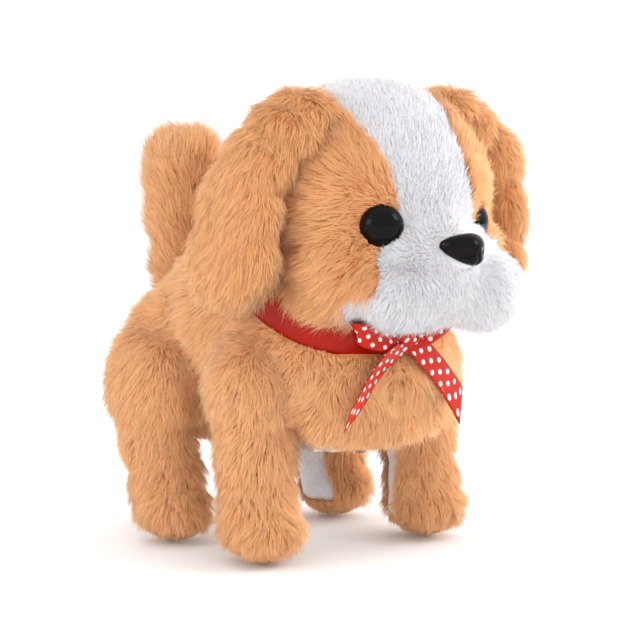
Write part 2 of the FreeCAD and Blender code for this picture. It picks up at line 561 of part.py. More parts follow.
for name, side, hip, thigh in LEGS:
    plate = span(side, "lever_inner", "lever_inner + lever_thick")
    hub = rod_x(f"hub_{name}", "hub_radius", *span(side, "rod_inner + rod_thick + 0.3",
                                                   "lever_inner + lever_thick"), hip, "hip_height")
    hub_flange = rod_x(f"hub_flange_{name}", "hub_radius + 2", *plate, hip, "hip_height")
    shin = block(f"shin_{name}", *plate, f"{hip} - lever_half", f"{hip} + lever_half", "ankle_height",
                 "hip_height")
    inner = span(side, "rod_inner + rod_thick + 0.3", "shell_half - wall - 0.2")
    rocker = block(f"rocker_{name}", *inner, f"{hip} - 2.5", f"{hip} + 2.5", "hip_height",
                   "hip_height + rocker_length")
    rocker_eye = rod_x(f"rocker_eye_{name}", 2.5, *inner, hip, "hip_height + rocker_length")
    pin = rod_x(f"rocker_pin_{name}", "rod_pin_radius",
                *span(side, "rod_inner - 0.4", "shell_half - wall - 0.2"),
                hip, "hip_height + rocker_length")
    node(fuse(f"lever_{name}", hub, hub_flange, shin, rocker, rocker_eye, pin), f"leg_lever_{name}")

    calf = rod(f"calf_{name}", "leg_radius", "hip_height - foot_z", f"{side} * leg_x", hip, "foot_z")
    foot = ball(f"foot_{name}", "leg_radius + 1", "foot_ry", "foot_z + 1.5", f"{side} * leg_x",
                f"{hip} - toe_reach", "foot_z")
    floor = block(f"floor_{name}", *span(side, 10, 70), f"{hip} - 40", f"{hip} + 40", "-10", "0")
    dome = rod_x(f"thigh_{name}", thigh, *span(side, "thigh_inner", "thigh_outer"), hip, "hip_height")
    clearance = block(f"leg_clearance_{name}", *span(side, 0, "thigh_inner"), f"{hip} - 40", f"{hip} + 40",
                      "calf_top", 110)
    pocket = block(f"lever_pocket_{name}", *span(side, "lever_inner - fit", "lever_inner + lever_thick + fit"),
                   f"{hip} - lever_half - fit", f"{hip} + lever_half + fit", "ankle_height - fit",
                   "calf_top + 1")
    top = block(f"leg_top_{name}", *span(side, 20, 60), f"{hip} - 40", f"{hip} + 40", "hip_height", 110)
    column = cut(f"column_{name}", fuse(f"leg_mass_{name}", calf, foot), top)
    inside = block(f"leg_inside_{name}", *span(side, 0, "lever_inner - fit"), f"{hip} - 40", f"{hip} + 40",
                   "-5", 110)
    mass = cut(f"leg_form_{name}", fuse(f"leg_body_{name}", column, dome), clearance, pocket, floor)
    node(cut(f"sleeve_{name}", mass, inside), f"leg_plush_{name}")
    node(common(f"lining_{name}", mass, inside), f"leg_lining_{name}")

# ---- tie rods: each joins the two rockers of one side and carries the upright slot for the crank pin ----

ROD_Z = "hip_height + rocker_length"
for side, name in ((1, "left"), (-1, "right")):
    x0, x1 = span(side, "rod_inner", "rod_inner + rod_thick")
    bar = design_body(f"tie_rod_{name}")
    HIP_MIDDLE, HIP_SPAN = "(front_hip + rear_hip) / 2", "rear_hip - front_hip"
    feature(bar, "Pad", "YZ_Plane", HIP_MIDDLE, ROD_Z, x0, x1, (HIP_SPAN, "4.4"))
    for hip in ("front_hip", "rear_hip"):
        feature(bar, "Pad", "YZ_Plane", hip, ROD_Z, x0, x1, 2.6)
    feature(bar, "Pad", "YZ_Plane", "crank_y", "hip_height + 1.5", x0, x1, ("6", "2 * rocker_length - 3"))
    feature(bar, "Pocket", "YZ_Plane", "crank_y", "hip_height", x0, x1,
            ("2 * rod_pin_radius + 0.4", "2 * (rod_pin_radius + crank_throw) + 0.6"))
    for hip in ("front_hip", "rear_hip"):
        feature(bar, "Pocket", "YZ_Plane", hip, ROD_Z, x0, x1, "rod_pin_radius + running")

# ---- switch, speaker and sound board ----

SWITCH_OFF = "-switch_travel / 2"
KNOB_REACH = 2.6
switch_body = block("switch_case", "-6", "6", "switch_y - 3", "switch_y + 3", "shell_floor + wall",
                    "shell_floor + wall + 5")
switch_room = block("switch_room", "-switch_travel / 2 - knob_length / 2 - fit",
                    "switch_travel / 2 + knob_length / 2 + fit",
                    "switch_y - knob_depth / 2 - fit", "switch_y + knob_depth / 2 + fit",
                    "shell_floor + wall", "shell_floor + wall + 1.5")
node(cut("switch_body_cut", switch_body, switch_room), "switch_body")
node(block("switch_knob_block", f"{SWITCH_OFF} - knob_length / 2", f"{SWITCH_OFF} + knob_length / 2",
           "switch_y - knob_depth / 2", "switch_y + knob_depth / 2",
           f"shell_floor - {KNOB_REACH}", "shell_floor + wall + 1.2"), "switch_knob")
SPEAKER_Z = "shell_floor + wall + 15.5"
speaker_frame = rod("speaker_frame", 9.5, 4, 0, "shell_front + wall", SPEAKER_Z, ALONG_Y)
speaker_magnet = rod("speaker_magnet", 5, 2.5, 0, "shell_front + wall + 4", SPEAKER_Z, ALONG_Y)
node(fuse("speaker_shape", speaker_frame, speaker_magnet), "speaker")
board = block("board_plate", "-22", "-6", "shell_step + wall + 0.5", "shell_back - wall - 0.5",
              "rear_roof - wall - 1.5", "rear_roof - wall")
chip = block("board_chip", "-16", "-8", "shell_step + wall + 1", "shell_step + wall + 8",
             "rear_roof - wall - 3.5", "rear_roof - wall - 1.5")
node(fuse("sound_board_shape", board, chip), "sound_board")

# ---- tail: a shaft along the back, turned by an arm over the cam drum, with a core inside the plush ----

tail_rod = rod("tail_rod", "shaft_radius", "68 - shell_step", 0, "shell_step + 0.5", "tail_axis_z", ALONG_Y)
tail_arm = block("tail_arm", "-1.5", "1.5", "crank_y - 2", "crank_y + 1", "hip_height + drum_radius + 1.4",
                 "tail_axis_z")
tail_tip = rod("tail_tip", 0.8, 2, 0, "crank_y", "hip_height + drum_radius + fit")
node(fuse("tail_shaft_shape", tail_rod, tail_arm, tail_tip), "tail_shaft")
core_foot = rod("core_foot", "shaft_radius + 2", 8, 0, "tail_y - 14", "tail_axis_z", ALONG_Y)
core_stem = rod("core_stem", 3, "tail_z + 16 - tail_axis_z", 0, "tail_y - 9", "tail_axis_z",
                Rotation(Vector(1, 0, 0), -12))
node(cut("tail_core_cut", fuse("tail_core_solid", core_foot, core_stem), tail_rod), "tail_core")
tail_body = ball("tail_ball", "tail_rx", "tail_ry", "tail_rz", 0, "tail_y", "tail_z")
tail_socket = rod("tail_socket", 3.6, "tail_z + 17 - tail_axis_z", 0, "tail_y - 9", "tail_axis_z - 1",
                  Rotation(Vector(1, 0, 0), -12))
foot_socket = rod("foot_socket", "shaft_radius + 2.3", 14, 0, "tail_y - 16", "tail_axis_z", ALONG_Y)
node(cut("tail_plush_cut", tail_body, tail_socket, foot_socket), "tail_plush")

# ---- neck lever, head frame, eyes, nose and the plush of the head ----

neck_pin = node(rod_x("neck_pin_shape", "shaft_radius", "-neck_rib - neck_rib_thick",
                      "neck_rib + neck_rib_thick", "neck_y", "neck_z"),
                "neck_pin")
neck_hub = rod_x("neck_hub", 4, "-neck_rib + 0.4", "neck_rib - 0.4", "neck_y", "neck_z")
neck_post = block("neck_post", "-6", "6", "neck_y - 4", "neck_y + 3", "neck_z", "skull_base - 2")
neck_disc = rod("neck_disc", 17, 2, 0, "head_y", "skull_base - 2")
follower = block("neck_follower", "-drum_half - 4", "-drum_half - 0.4",
                 "crank_y - nod_cam_radius - nod_cam_throw - 3 - fit",
                 "crank_y - nod_cam_radius - nod_cam_throw - fit", "hip_height - 1", "neck_z - 4")
follower_bar = block("neck_follower_bar", "-drum_half - 4", "-drum_half - 0.4", "neck_y",
                     "crank_y - nod_cam_radius - nod_cam_throw - fit", "neck_z - 6", "neck_z - 1.6")
neck_hole = rod_x("neck_hole", "shaft_radius + running", "-neck_rib", "neck_rib", "neck_y", "neck_z")
node(cut("neck_lever_cut", fuse("neck_lever_solid", neck_hub, neck_post, neck_disc, follower, follower_bar),
         neck_hole),
     "neck_lever")

skull_outer = ball("skull_outer", "skull", "skull - 2", "skull - 2", 0, "head_y", "head_z")
skull_inner = ball("skull_inner", "skull - skull_wall", "skull - 2 - skull_wall", "skull - 2 - skull_wall", 0,
                   "head_y", "head_z")
below_skull = block("below_skull", "-40", "40", "head_y - 40", "head_y + 40", "skull_base - 40", "skull_base")
node(cut("head_frame_cut", skull_outer, skull_inner, below_skull), "head_frame")

head_centre = Vector(0, dim("head_y"), dim("head_z"))


def facing(point):
    """The rotation that carries +Z to the way from a point on the face into the head."""
    return Rotation(Vector(0, 0, 1), head_centre - point)


def face_post(name, radius, start, length, point, rotation):
    """A cylinder inwards from a face piece, start millimetres behind the point."""
    inward = rotation.multVec(Vector(0, 0, start))
    return rod(name, radius, length, point.x + inward.x, point.y + inward.y, point.z + inward.z, rotation)


face_rooms, washers = [], []
for side, name in ((1, "left"), (-1, "right")):
    point = Vector(side * dim("eye_x"), dim("eye_y"), dim("eye_z"))
    turn = facing(point)
    eye = ball(f"eyeball_{name}", "eye_r", "eye_r", "0.8 * eye_r", f"{side} * eye_x", "eye_y", "eye_z", turn)
    post = face_post(f"eye_post_{name}", "post_r", 0, "post_length", point, turn)
    node(fuse(f"eye_{name}_shape", eye, post), f"eye_{name}")
    face_rooms += [ball(f"eye_room_{name}", "eye_r + 0.1", "eye_r + 0.1", "0.8 * eye_r + 0.1",
                        f"{side} * eye_x", "eye_y", "eye_z", turn),
                   face_post(f"eye_post_room_{name}", "post_r + 0.1", 0, "post_length + 1", point, turn)]
    washers.append(face_post(f"eye_washer_{name}", 5, 6.7, 1, point, turn))
    face_rooms.append(face_post(f"eye_washer_room_{name}", 5.2, 6.5, 1.4, point, turn))
nose_ball = ball("nose_ball", "nose_rx", "nose_ry", "nose_rz", 0, "nose_y", "nose_z")
nose_post = rod("nose_post", "post_r", 12, 0, "nose_y", "nose_z", ALONG_Y)
node(fuse("nose_shape", nose_ball, nose_post), "nose")
nose_room = fuse("nose_room", ball("nose_ball_room", "nose_rx + 0.1", "nose_ry + 0.1", "nose_rz + 0.1", 0,
                                   "nose_y", "nose_z"),
                 rod("nose_post_room", "post_r + 0.1", 13, 0, "nose_y", "nose_z", ALONG_Y),
                 rod("nose_washer_room", 5.2, 1.4, 0, "nose_y + 8.8", "nose_z", ALONG_Y))
washers.append(rod("nose_washer", 5, 1, 0, "nose_y + 9", "nose_z", ALONG_Y))
washer_holes = [face_rooms[1], face_rooms[4], rod("nose_washer_hole", "post_r + 0.1", 3, 0, "nose_y + 8",
                                                  "nose_z", ALONG_Y)]
washer_bodies = [cut(f"washer_{i}", washer, hole) for i,
                 (washer, hole) in enumerate(zip(washers, washer_holes))]
face_washers = node(doc.addObject("Part::Compound", "face_washers"), "face_washers")
face_washers.Links = washer_bodies

head_outer = ball("head_outer", "head_rx", "head_ry", "head_rz", 0, "head_y", "head_z")
head_inner = ball("head_inner", "head_rx - plush", "head_ry - plush", "head_rz - plush", 0, "head_y",
                  "head_z")
head_skin = cut("head_skin", head_outer, head_inner, *face_rooms)
neck_opening = rod("neck_opening", 19, 40, 0, "head_y", "head_z - head_rz - 12")
blaze_front = block("blaze_slab", "-blaze_half", "blaze_half", "head_y - 60", "head_y + 20", "head_z",
                    "head_z + 60")
node(common("blaze_shape", head_skin, blaze_front), "blaze_panel")
node(cut("head_plush_cut", head_skin, neck_opening, blaze_front), "head_plush")
stuffing_outer = ball("stuffing_outer", "head_rx - plush - 0.1", "head_ry - plush - 0.1",
                      "head_rz - plush - 0.1", 0, "head_y", "head_z")
skull_room = ball("skull_room", "skull + 0.2", "skull - 1.8", "skull - 1.8", 0, "head_y", "head_z")
node(cut("head_stuffing_cut", stuffing_outer, skull_room, neck_opening, *face_rooms), "head_stuffing")

jowls = [sphere(f"jowl_{i}", "jowl_r", f"{side} * jowl_x", "jowl_y", "jowl_z") for i,
         side in enumerate((-1, 1))]
bridge = sphere("bridge", "bridge_r", 0, "bridge_y", "bridge_z")
head_room = ball("head_room", "head_rx + 0.1", "head_ry + 0.1", "head_rz + 0.1", 0, "head_y", "head_z")
node(cut("muzzle_cut", fuse("muzzle_mass", *jowls, bridge), head_room, nose_room, *face_rooms),
     "muzzle_plush")

flap = ball("ear_flap", "ear_rx", "ear_ry", "ear_rz", "ear_x", "ear_y", "ear_z",
            Rotation(Vector(0, 1, 0), -dim("ear_lean")))
root = ball("ear_root", "ear_root_rx", "ear_root_ry", "ear_root_rz", "ear_root_x", "ear_y", "ear_root_z",
            Rotation(Vector(0, 1, 0), dim("ear_droop")))
ear_gap = ball("ear_gap", "head_rx + 0.5", "head_ry + 0.5", "head_rz + 0.5", 0, "head_y", "head_z")
ear_left = node(cut("ear_left_cut", fuse("ear_left_solid", flap, root), ear_gap), "ear_left")
node(mirrored("ear_right_twin", ear_left), "ear_right")

# ---- ribbon: a band round the neck, and a bow with two tails ----


def neck_section(grow, height):
    """An upright elliptical cylinder about the neck, leaned forward by the ribbon's tilt."""
    ellipse = Part.Ellipse(Vector(), dim("ribbon_rx") + grow, dim("ribbon_ry") + grow)
    column = Part.Face(Part.Wire(ellipse.toShape())).extrude(Vector(0, 0, height))
    column.translate(Vector(0, 0, -dim("ribbon_width") / 2))
    column.Placement = Placement(Vector(0, dim("ribbon_y"), dim("ribbon_z")),
                                 Rotation(Vector(1, 0, 0), dim("ribbon_tilt"))) \
        .multiply(column.Placement)
    return column


ribbon_band = neck_section(dim("ribbon_thick"), dim("ribbon_width")).cut(neck_section(0, dim("ribbon_width")))
node(solid("neck_ribbon_shape", ribbon_band), "neck_ribbon")


def bow_loop(side):
    """One flattened loop of the bow, a wedge that widens away from the knot."""
    outline = [Vector(0, 0, -2.2), Vector(24, 0, -5.5), Vector(24, 0, 5.5), Vector(0, 0, 2.2)]
    loop = Part.Face(Part.makePolygon(outline + outline[:1])).extrude(Vector(0, 5, 0))
    loop.Placement = Placement(Vector(0, -2.5, 0), Rotation(Vector(0, 1, 0), -14))
    return loop if side > 0 else loop.mirror(Vector(), Vector(1, 0, 0))


knot_block = Part.makeCylinder(4.2, 9, Vector(0, 0, -4.5))
bow = node(solid("bow_shape", knot_block.fuse([bow_loop(-1), bow_loop(1)])), "bow")
place(bow, 0, "bow_y", "bow_z", Rotation(Vector(1, 0, 0), dim("ribbon_tilt")))


def ribbon_tail(side):
    """One hanging end of the bow, a flat strip with a slanted cut."""
    width, length = dim("tail_width"), dim("tail_length")
    outline = [Vector(-width / 2, 0, 0), Vector(width / 2, 0, 0),
               Vector(width / 2, 0, -length + side * width / 3),
               Vector(-width / 2, 0, -length - side * width / 3)]
    strip = Part.Face(Part.makePolygon(outline + outline[:1])).extrude(Vector(0, dim("ribbon_thick"), 0))
    strip.Placement = Placement(Vector(side * 9.5, dim("bow_y") - 3.6, dim("bow_z") - 4),
                                Rotation(Vector(0, 1, 0), -side * 35))
    return strip


node(solid("bow_tails_shape", Part.makeCompound([ribbon_tail(s) for s in (-1, 1)])), "bow_tails")

# ---- torso: a plush skin over stuffing, with sockets for the neck, hips, tail and belly plate ----


def torso_mass(name, shrink):
    return fuse(name, *[ball(f"{name}_{part}", f"{part}_rx - {shrink}", f"{part}_ry - {shrink}",
                             f"{part}_rz - {shrink}",
                             0, f"{part}_y", f"{part}_z") for part in ("back", "chest", "rump")])


def nodded_head(name, share):
    """The head's outline with a gap round it, part of the way through its nod."""
    gap = 2.5
    turn = Rotation(Vector(1, 0, 0), -dim("nod_angle") * share)
    pivot = Vector(0, dim("neck_y"), dim("neck_z"))
    centre = pivot + turn.multVec(head_centre - pivot)
    return ball(name, f"head_rx + {gap}", f"head_ry + {gap}", f"head_rz + {gap}", centre.x, centre.y,
                centre.z, turn)


def torso_rooms(prefix):
    """What the torso's skin and stuffing leave free: the shell, the neck, the tail and the legs' swing."""
    rooms = [nodded_head(f"{prefix}_nod_{i}", i / 2) for i in range(3)]
    shell_y = ("shell_front - 0.2", "shell_back + 0.2")
    rooms.append(block(f"{prefix}_shell", "-shell_half - 0.2", "shell_half + 0.2", *shell_y, "keel_top - 0.2",
                       "front_roof + 0.2"))
    rooms.append(block(f"{prefix}_keel", "-keel_half - 0.2", "keel_half + 0.2", *shell_y, "0", "keel_top"))
    rooms.append(block(f"{prefix}_well", "keel_half", "well_outer + 0.2", "crank_y - well_half - 0.2",
                       "crank_y + well_half + 0.2", "well_floor - 1", "keel_top"))
    rooms.append(block(f"{prefix}_hump", "-hump_half - 0.2", "hump_half + 0.2", "shell_step - 0.2",
                       "shell_back + 0.2",
                       "front_roof", "rear_roof + 0.2"))
    rooms.append(block(f"{prefix}_belly", "-60", "60", "-90", "120", "-5", "belly_z"))
    rooms.append(block(f"{prefix}_neck", "-8", "8", "neck_y - 10", "neck_y + 10", "front_roof", 120))
    rooms.append(rod(f"{prefix}_tail", 16, 60, 0, "tail_y", "tail_axis_z - 8"))
    rooms.append(rod(f"{prefix}_shaft", "shaft_radius + 0.5", 40, 0, "shell_back - 2", "tail_axis_z",
                     ALONG_Y))
    rooms.append(rod(f"{prefix}_core", "shaft_radius + 2.5", 40, 0, "tail_y - 15", "tail_axis_z", ALONG_Y))
    for name, side, hip, thigh in LEGS:
        wide = span(side, "shell_half - 0.2", 70)
        rooms.append(rod_x(f"{prefix}_hip_{name}", f"{thigh} + hip_gap", *wide, hip, "hip_height"))
        rooms.append(block(f"{prefix}_swing_{name}", *wide, f"{hip} - {thigh} - hip_gap - 1",
                           f"{hip} + {thigh} + hip_gap + 1",
                           "0", "hip_height - 4"))
    return rooms


neck_socket = solid("neck_socket", neck_section(dim("ribbon_thick") + 0.4, 70))
torso_outer, torso_inner = torso_mass("torso_outer", 0), torso_mass("torso_inner", "plush")
node(cut("torso_plush_cut", torso_outer, torso_inner, neck_socket, *torso_rooms("skin_room")), "torso_plush")
torso_core = torso_mass("torso_core", "(plush + 0.1)")
filling = cut("torso_filling", torso_core, neck_socket, *torso_rooms("fill_room"))
doc.recompute()
# the shell parts the filling into two wads, one round the back and one under the neck
wads = sorted(filling.Shape.Solids, key=lambda wad: wad.Volume)[-2:]
node(solid("torso_stuffing_wads", Part.makeCompound(wads)), "torso_stuffing")

# ---- check and write every sub-part ----

doc.recompute()
failed = [o.Name for o in doc.Objects if "Invalid" in o.State or "Error" in o.State]
if failed:
    raise RuntimeError(f"these objects failed: {failed}")
os.makedirs("parts", exist_ok=True)
for part in nodes:
    if part.Shape.isNull() or not part.Shape.isValid() or not part.Shape.Solids:
        raise RuntimeError(f"{part.Label} has no valid solid")
for part in nodes:
    part.Shape.exportStep(f"parts/{part.Label}.step")
    print(part.Label, "solids", len(part.Shape.Solids), "volume", round(part.Shape.Volume, 1))
print("nodes", len(nodes))
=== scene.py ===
import json
import math

import bmesh
import bpy
import numpy as np
from mathutils import Euler, Matrix, Vector, kdtree


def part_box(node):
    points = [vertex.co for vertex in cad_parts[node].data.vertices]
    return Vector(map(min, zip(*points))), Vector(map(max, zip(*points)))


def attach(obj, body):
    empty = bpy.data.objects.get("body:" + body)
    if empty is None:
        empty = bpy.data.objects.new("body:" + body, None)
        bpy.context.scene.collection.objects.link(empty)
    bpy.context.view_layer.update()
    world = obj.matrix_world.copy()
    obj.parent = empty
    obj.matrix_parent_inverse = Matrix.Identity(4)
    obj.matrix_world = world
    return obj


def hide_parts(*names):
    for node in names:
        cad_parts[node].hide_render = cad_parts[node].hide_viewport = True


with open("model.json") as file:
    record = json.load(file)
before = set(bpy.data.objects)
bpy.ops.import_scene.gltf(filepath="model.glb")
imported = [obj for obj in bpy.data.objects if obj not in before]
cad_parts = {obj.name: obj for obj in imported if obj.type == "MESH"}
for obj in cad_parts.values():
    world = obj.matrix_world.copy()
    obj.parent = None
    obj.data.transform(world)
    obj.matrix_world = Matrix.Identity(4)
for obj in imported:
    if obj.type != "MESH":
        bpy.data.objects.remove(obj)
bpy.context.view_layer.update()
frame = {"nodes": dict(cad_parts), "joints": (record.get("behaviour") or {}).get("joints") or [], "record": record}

MM = 0.001
UV_NAME = "OFBake"
JOINTS = {joint["name"]: joint for joint in frame["joints"]}


# ---- small helpers ----


def pivot(name):
    """A joint's position, in millimetres."""
    return np.array(JOINTS[name]["pos_m"]) / MM


def middle(node):
    """The centre of a CAD node's box, in millimetres."""
    low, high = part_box(node)
    return np.array((low + high) / 2) / MM


def unit(v):
    return v / np.maximum(np.linalg.norm(v, axis=-1, keepdims=True), 1e-9)


def smooth(t):
    t = np.clip(t, 0, 1)
    return t * t * (3 - 2 * t)


def lumps(points, scale, seed):
    """A soft random field from -1 to 1 over points in millimetres: a few crossed waves."""
    rng = np.random.default_rng(seed)
    total = np.zeros(len(points))
    for _ in range(7):
        wave = unit(rng.normal(size=3)) * (2 * math.pi / scale) * rng.uniform(0.6, 1.5)
        total += np.sin(points @ wave + rng.uniform(0, 2 * math.pi))
    return total / 3.2


def add_object(name, mesh, material=None):
    thing = bpy.data.objects.new(name, mesh)
    bpy.context.scene.collection.objects.link(thing)
    if material is not None:
        mesh.materials.clear()
        mesh.materials.append(material)
    return thing


def evaluated(thing, name):
    """The thing's mesh with its modifiers applied, as a new object."""
    graph = bpy.context.evaluated_depsgraph_get()
    mesh = bpy.data.meshes.new_from_object(thing.evaluated_get(graph))
    mesh.name = name
    bpy.data.objects.remove(thing, do_unlink=True)
    made = add_object(name, mesh)
    for polygon in mesh.polygons:
        polygon.use_smooth = True
    return made


# ---- materials ----


def new_material(name):
    material = bpy.data.materials.new(name)
    material.use_nodes = True
    tree = material.node_tree
    return material, tree, tree.nodes["Principled BSDF"]


def link(tree, source, socket, target, entry):
    tree.links.new(source.outputs[socket], target.inputs[entry])


def ramp(tree, stops):
    made = tree.nodes.new("ShaderNodeValToRGB")
    elements = made.color_ramp.elements
    while len(elements) < len(stops):
        elements.new(0.5)
    for element, (position, colour) in zip(elements, stops):
        element.position = position
        element.color = (*colour, 1)
    return made


def multiply(tree, first, second, share=1.0):
    """Two colour outputs multiplied."""
    mix = tree.nodes.new("ShaderNodeMix")
    mix.data_type = "RGBA"
    mix.blend_type = "MULTIPLY"
    mix.inputs["Factor"].default_value = share
    tree.links.new(first, mix.inputs[6])
    tree.links.new(second, mix.inputs[7])
    return mix.outputs[2]


def fur_material(name, root, body, tip, dark, sheen, tint):
    """Pile coloured from root to tip along V, and from strand to strand along U. The roots are darker as painted
    shade deep in the pile, and the tips lighter as a painted glow of light through them.
    """
    material, tree, shader = new_material(name)
    uv = tree.nodes.new("ShaderNodeUVMap")
    uv.uv_map = UV_NAME
    split = tree.nodes.new("ShaderNodeSeparateXYZ")
    link(tree, uv, "UV", split, "Vector")
    # Root to tip: painted shade at the roots, where shade falls deep in the pile, and a painted glow of light at the
    # tips.
    along = ramp(tree, [(0.0, root), (0.4, body), (1.0, tip)])
    across = ramp(tree, [(0.0, dark), (0.7, (1, 1, 1)), (1.0, (1, 1, 1))])
    link(tree, split, "Y", along, "Fac")
    link(tree, split, "X", across, "Fac")
    colour = multiply(tree, along.outputs["Color"], across.outputs["Color"])
    tree.links.new(colour, shader.inputs["Base Color"])
    shader.inputs["Roughness"].default_value = 0.8
    shader.inputs["Specular IOR Level"].default_value = 0.15
    shader.inputs["Sheen Weight"].default_value = sheen
    shader.inputs["Sheen Roughness"].default_value = 0.5
    shader.inputs["Sheen Tint"].default_value = (*tint, 1)
    return material


def speckled(name, dark, light, scale, roughness, bump=0.0, metallic=0.0, coat=0.0, stretch=(1, 1, 1)):
    """A surface whose colour drifts between two tones, with a fine grain in its bump."""
    material, tree, shader = new_material(name)
    where = tree.nodes.new("ShaderNodeTexCoord")
    mapping = tree.nodes.new("ShaderNodeMapping")
    mapping.inputs["Scale"].default_value = stretch
    noise = tree.nodes.new("ShaderNodeTexNoise")
    noise.inputs["Scale"].default_value = scale
    noise.inputs["Detail"].default_value = 5
    link(tree, where, "Object", mapping, "Vector")
    link(tree, mapping, "Vector", noise, "Vector")
    tones = ramp(tree, [(0.3, dark), (0.7, light)])
    link(tree, noise, "Fac", tones, "Fac")
    tree.links.new(tones.outputs["Color"], shader.inputs["Base Color"])
    shader.inputs["Roughness"].default_value = roughness
    shader.inputs["Metallic"].default_value = metallic
    shader.inputs["Coat Weight"].default_value = coat
    if bump:
        relief = tree.nodes.new("ShaderNodeBump")
        relief.inputs["Strength"].default_value = bump
        relief.inputs["Distance"].default_value = 0.0003
        link(tree, noise, "Fac", relief, "Height")
        link(tree, relief, "Normal", shader, "Normal")
    return material


# In each pile the root colour is darker, as painted shade deep in the pile, and the tip colour lighter, as a painted
# glow of light through the tips.
ORANGE_FUR = fur_material("orange_pile", (0.80, 0.30, 0.10), (0.97, 0.445, 0.18), (1.0, 0.58, 0.30),
                          (0.87, 0.75, 0.65), 0.3, (1.0, 0.80, 0.60))
# The body's pile is a lighter copy of the orange pile: painted light that lifts the shade on the body, legs and tail.
BODY_FUR_PAINTED_LIGHT = fur_material("orange_body_pile_painted_light", (0.88, 0.34, 0.12), (1.0, 0.465, 0.195), (1.0, 0.61, 0.335),
                        (0.92, 0.83, 0.75), 0.3, (1.0, 0.80, 0.60))
WHITE_FUR = fur_material("white_pile", (0.88, 0.87, 0.89), (0.915, 0.905, 0.93), (0.93, 0.92, 0.945),
                         (0.95, 0.95, 0.97), 0.1, (1.0, 1.0, 1.0))
ORANGE_CLOTH = speckled("orange_backing", (0.62, 0.25, 0.09), (0.74, 0.32, 0.12), 900, 0.9)
WHITE_CLOTH = speckled("white_backing", (0.80, 0.80, 0.81), (0.86, 0.86, 0.87), 900, 0.9)


def knit_material():
    """Short knitted pile: fine ribs crossed by a soft grain."""
    material, tree, shader = new_material("white_knit")
    where = tree.nodes.new("ShaderNodeTexCoord")
    ribs = tree.nodes.new("ShaderNodeTexWave")
    ribs.bands_direction = "Z"
    ribs.inputs["Scale"].default_value = 620
    ribs.inputs["Distortion"].default_value = 2.5
    ribs.inputs["Detail"].default_value = 2
    noise = tree.nodes.new("ShaderNodeTexNoise")
    noise.inputs["Scale"].default_value = 1500
    link(tree, where, "Object", ribs, "Vector")
    link(tree, where, "Object", noise, "Vector")
    tones = ramp(tree, [(0.0, (0.62, 0.62, 0.65)), (1.0, (0.80, 0.80, 0.83))])
    grain = ramp(tree, [(0.35, (0.86, 0.86, 0.86)), (0.65, (1, 1, 1))])
    link(tree, ribs, "Fac", tones, "Fac")
    link(tree, noise, "Fac", grain, "Fac")
    colour = multiply(tree, tones.outputs["Color"], grain.outputs["Color"])
    tree.links.new(colour, shader.inputs["Base Color"])
    relief = tree.nodes.new("ShaderNodeBump")
    relief.inputs["Strength"].default_value = 0.25
    relief.inputs["Distance"].default_value = 0.0003
    link(tree, ribs, "Fac", relief, "Height")
    link(tree, relief, "Normal", shader, "Normal")
    shader.inputs["Roughness"].default_value = 0.9
    shader.inputs["Sheen Weight"].default_value = 0.3
    return material


KNIT = knit_material()
DOT_ROWS, DOT_PERIOD, DOT_RADIUS = 2.9, 5.6, 0.92
DOT_COLOUR = (0.82, 0.72, 0.71, 1)


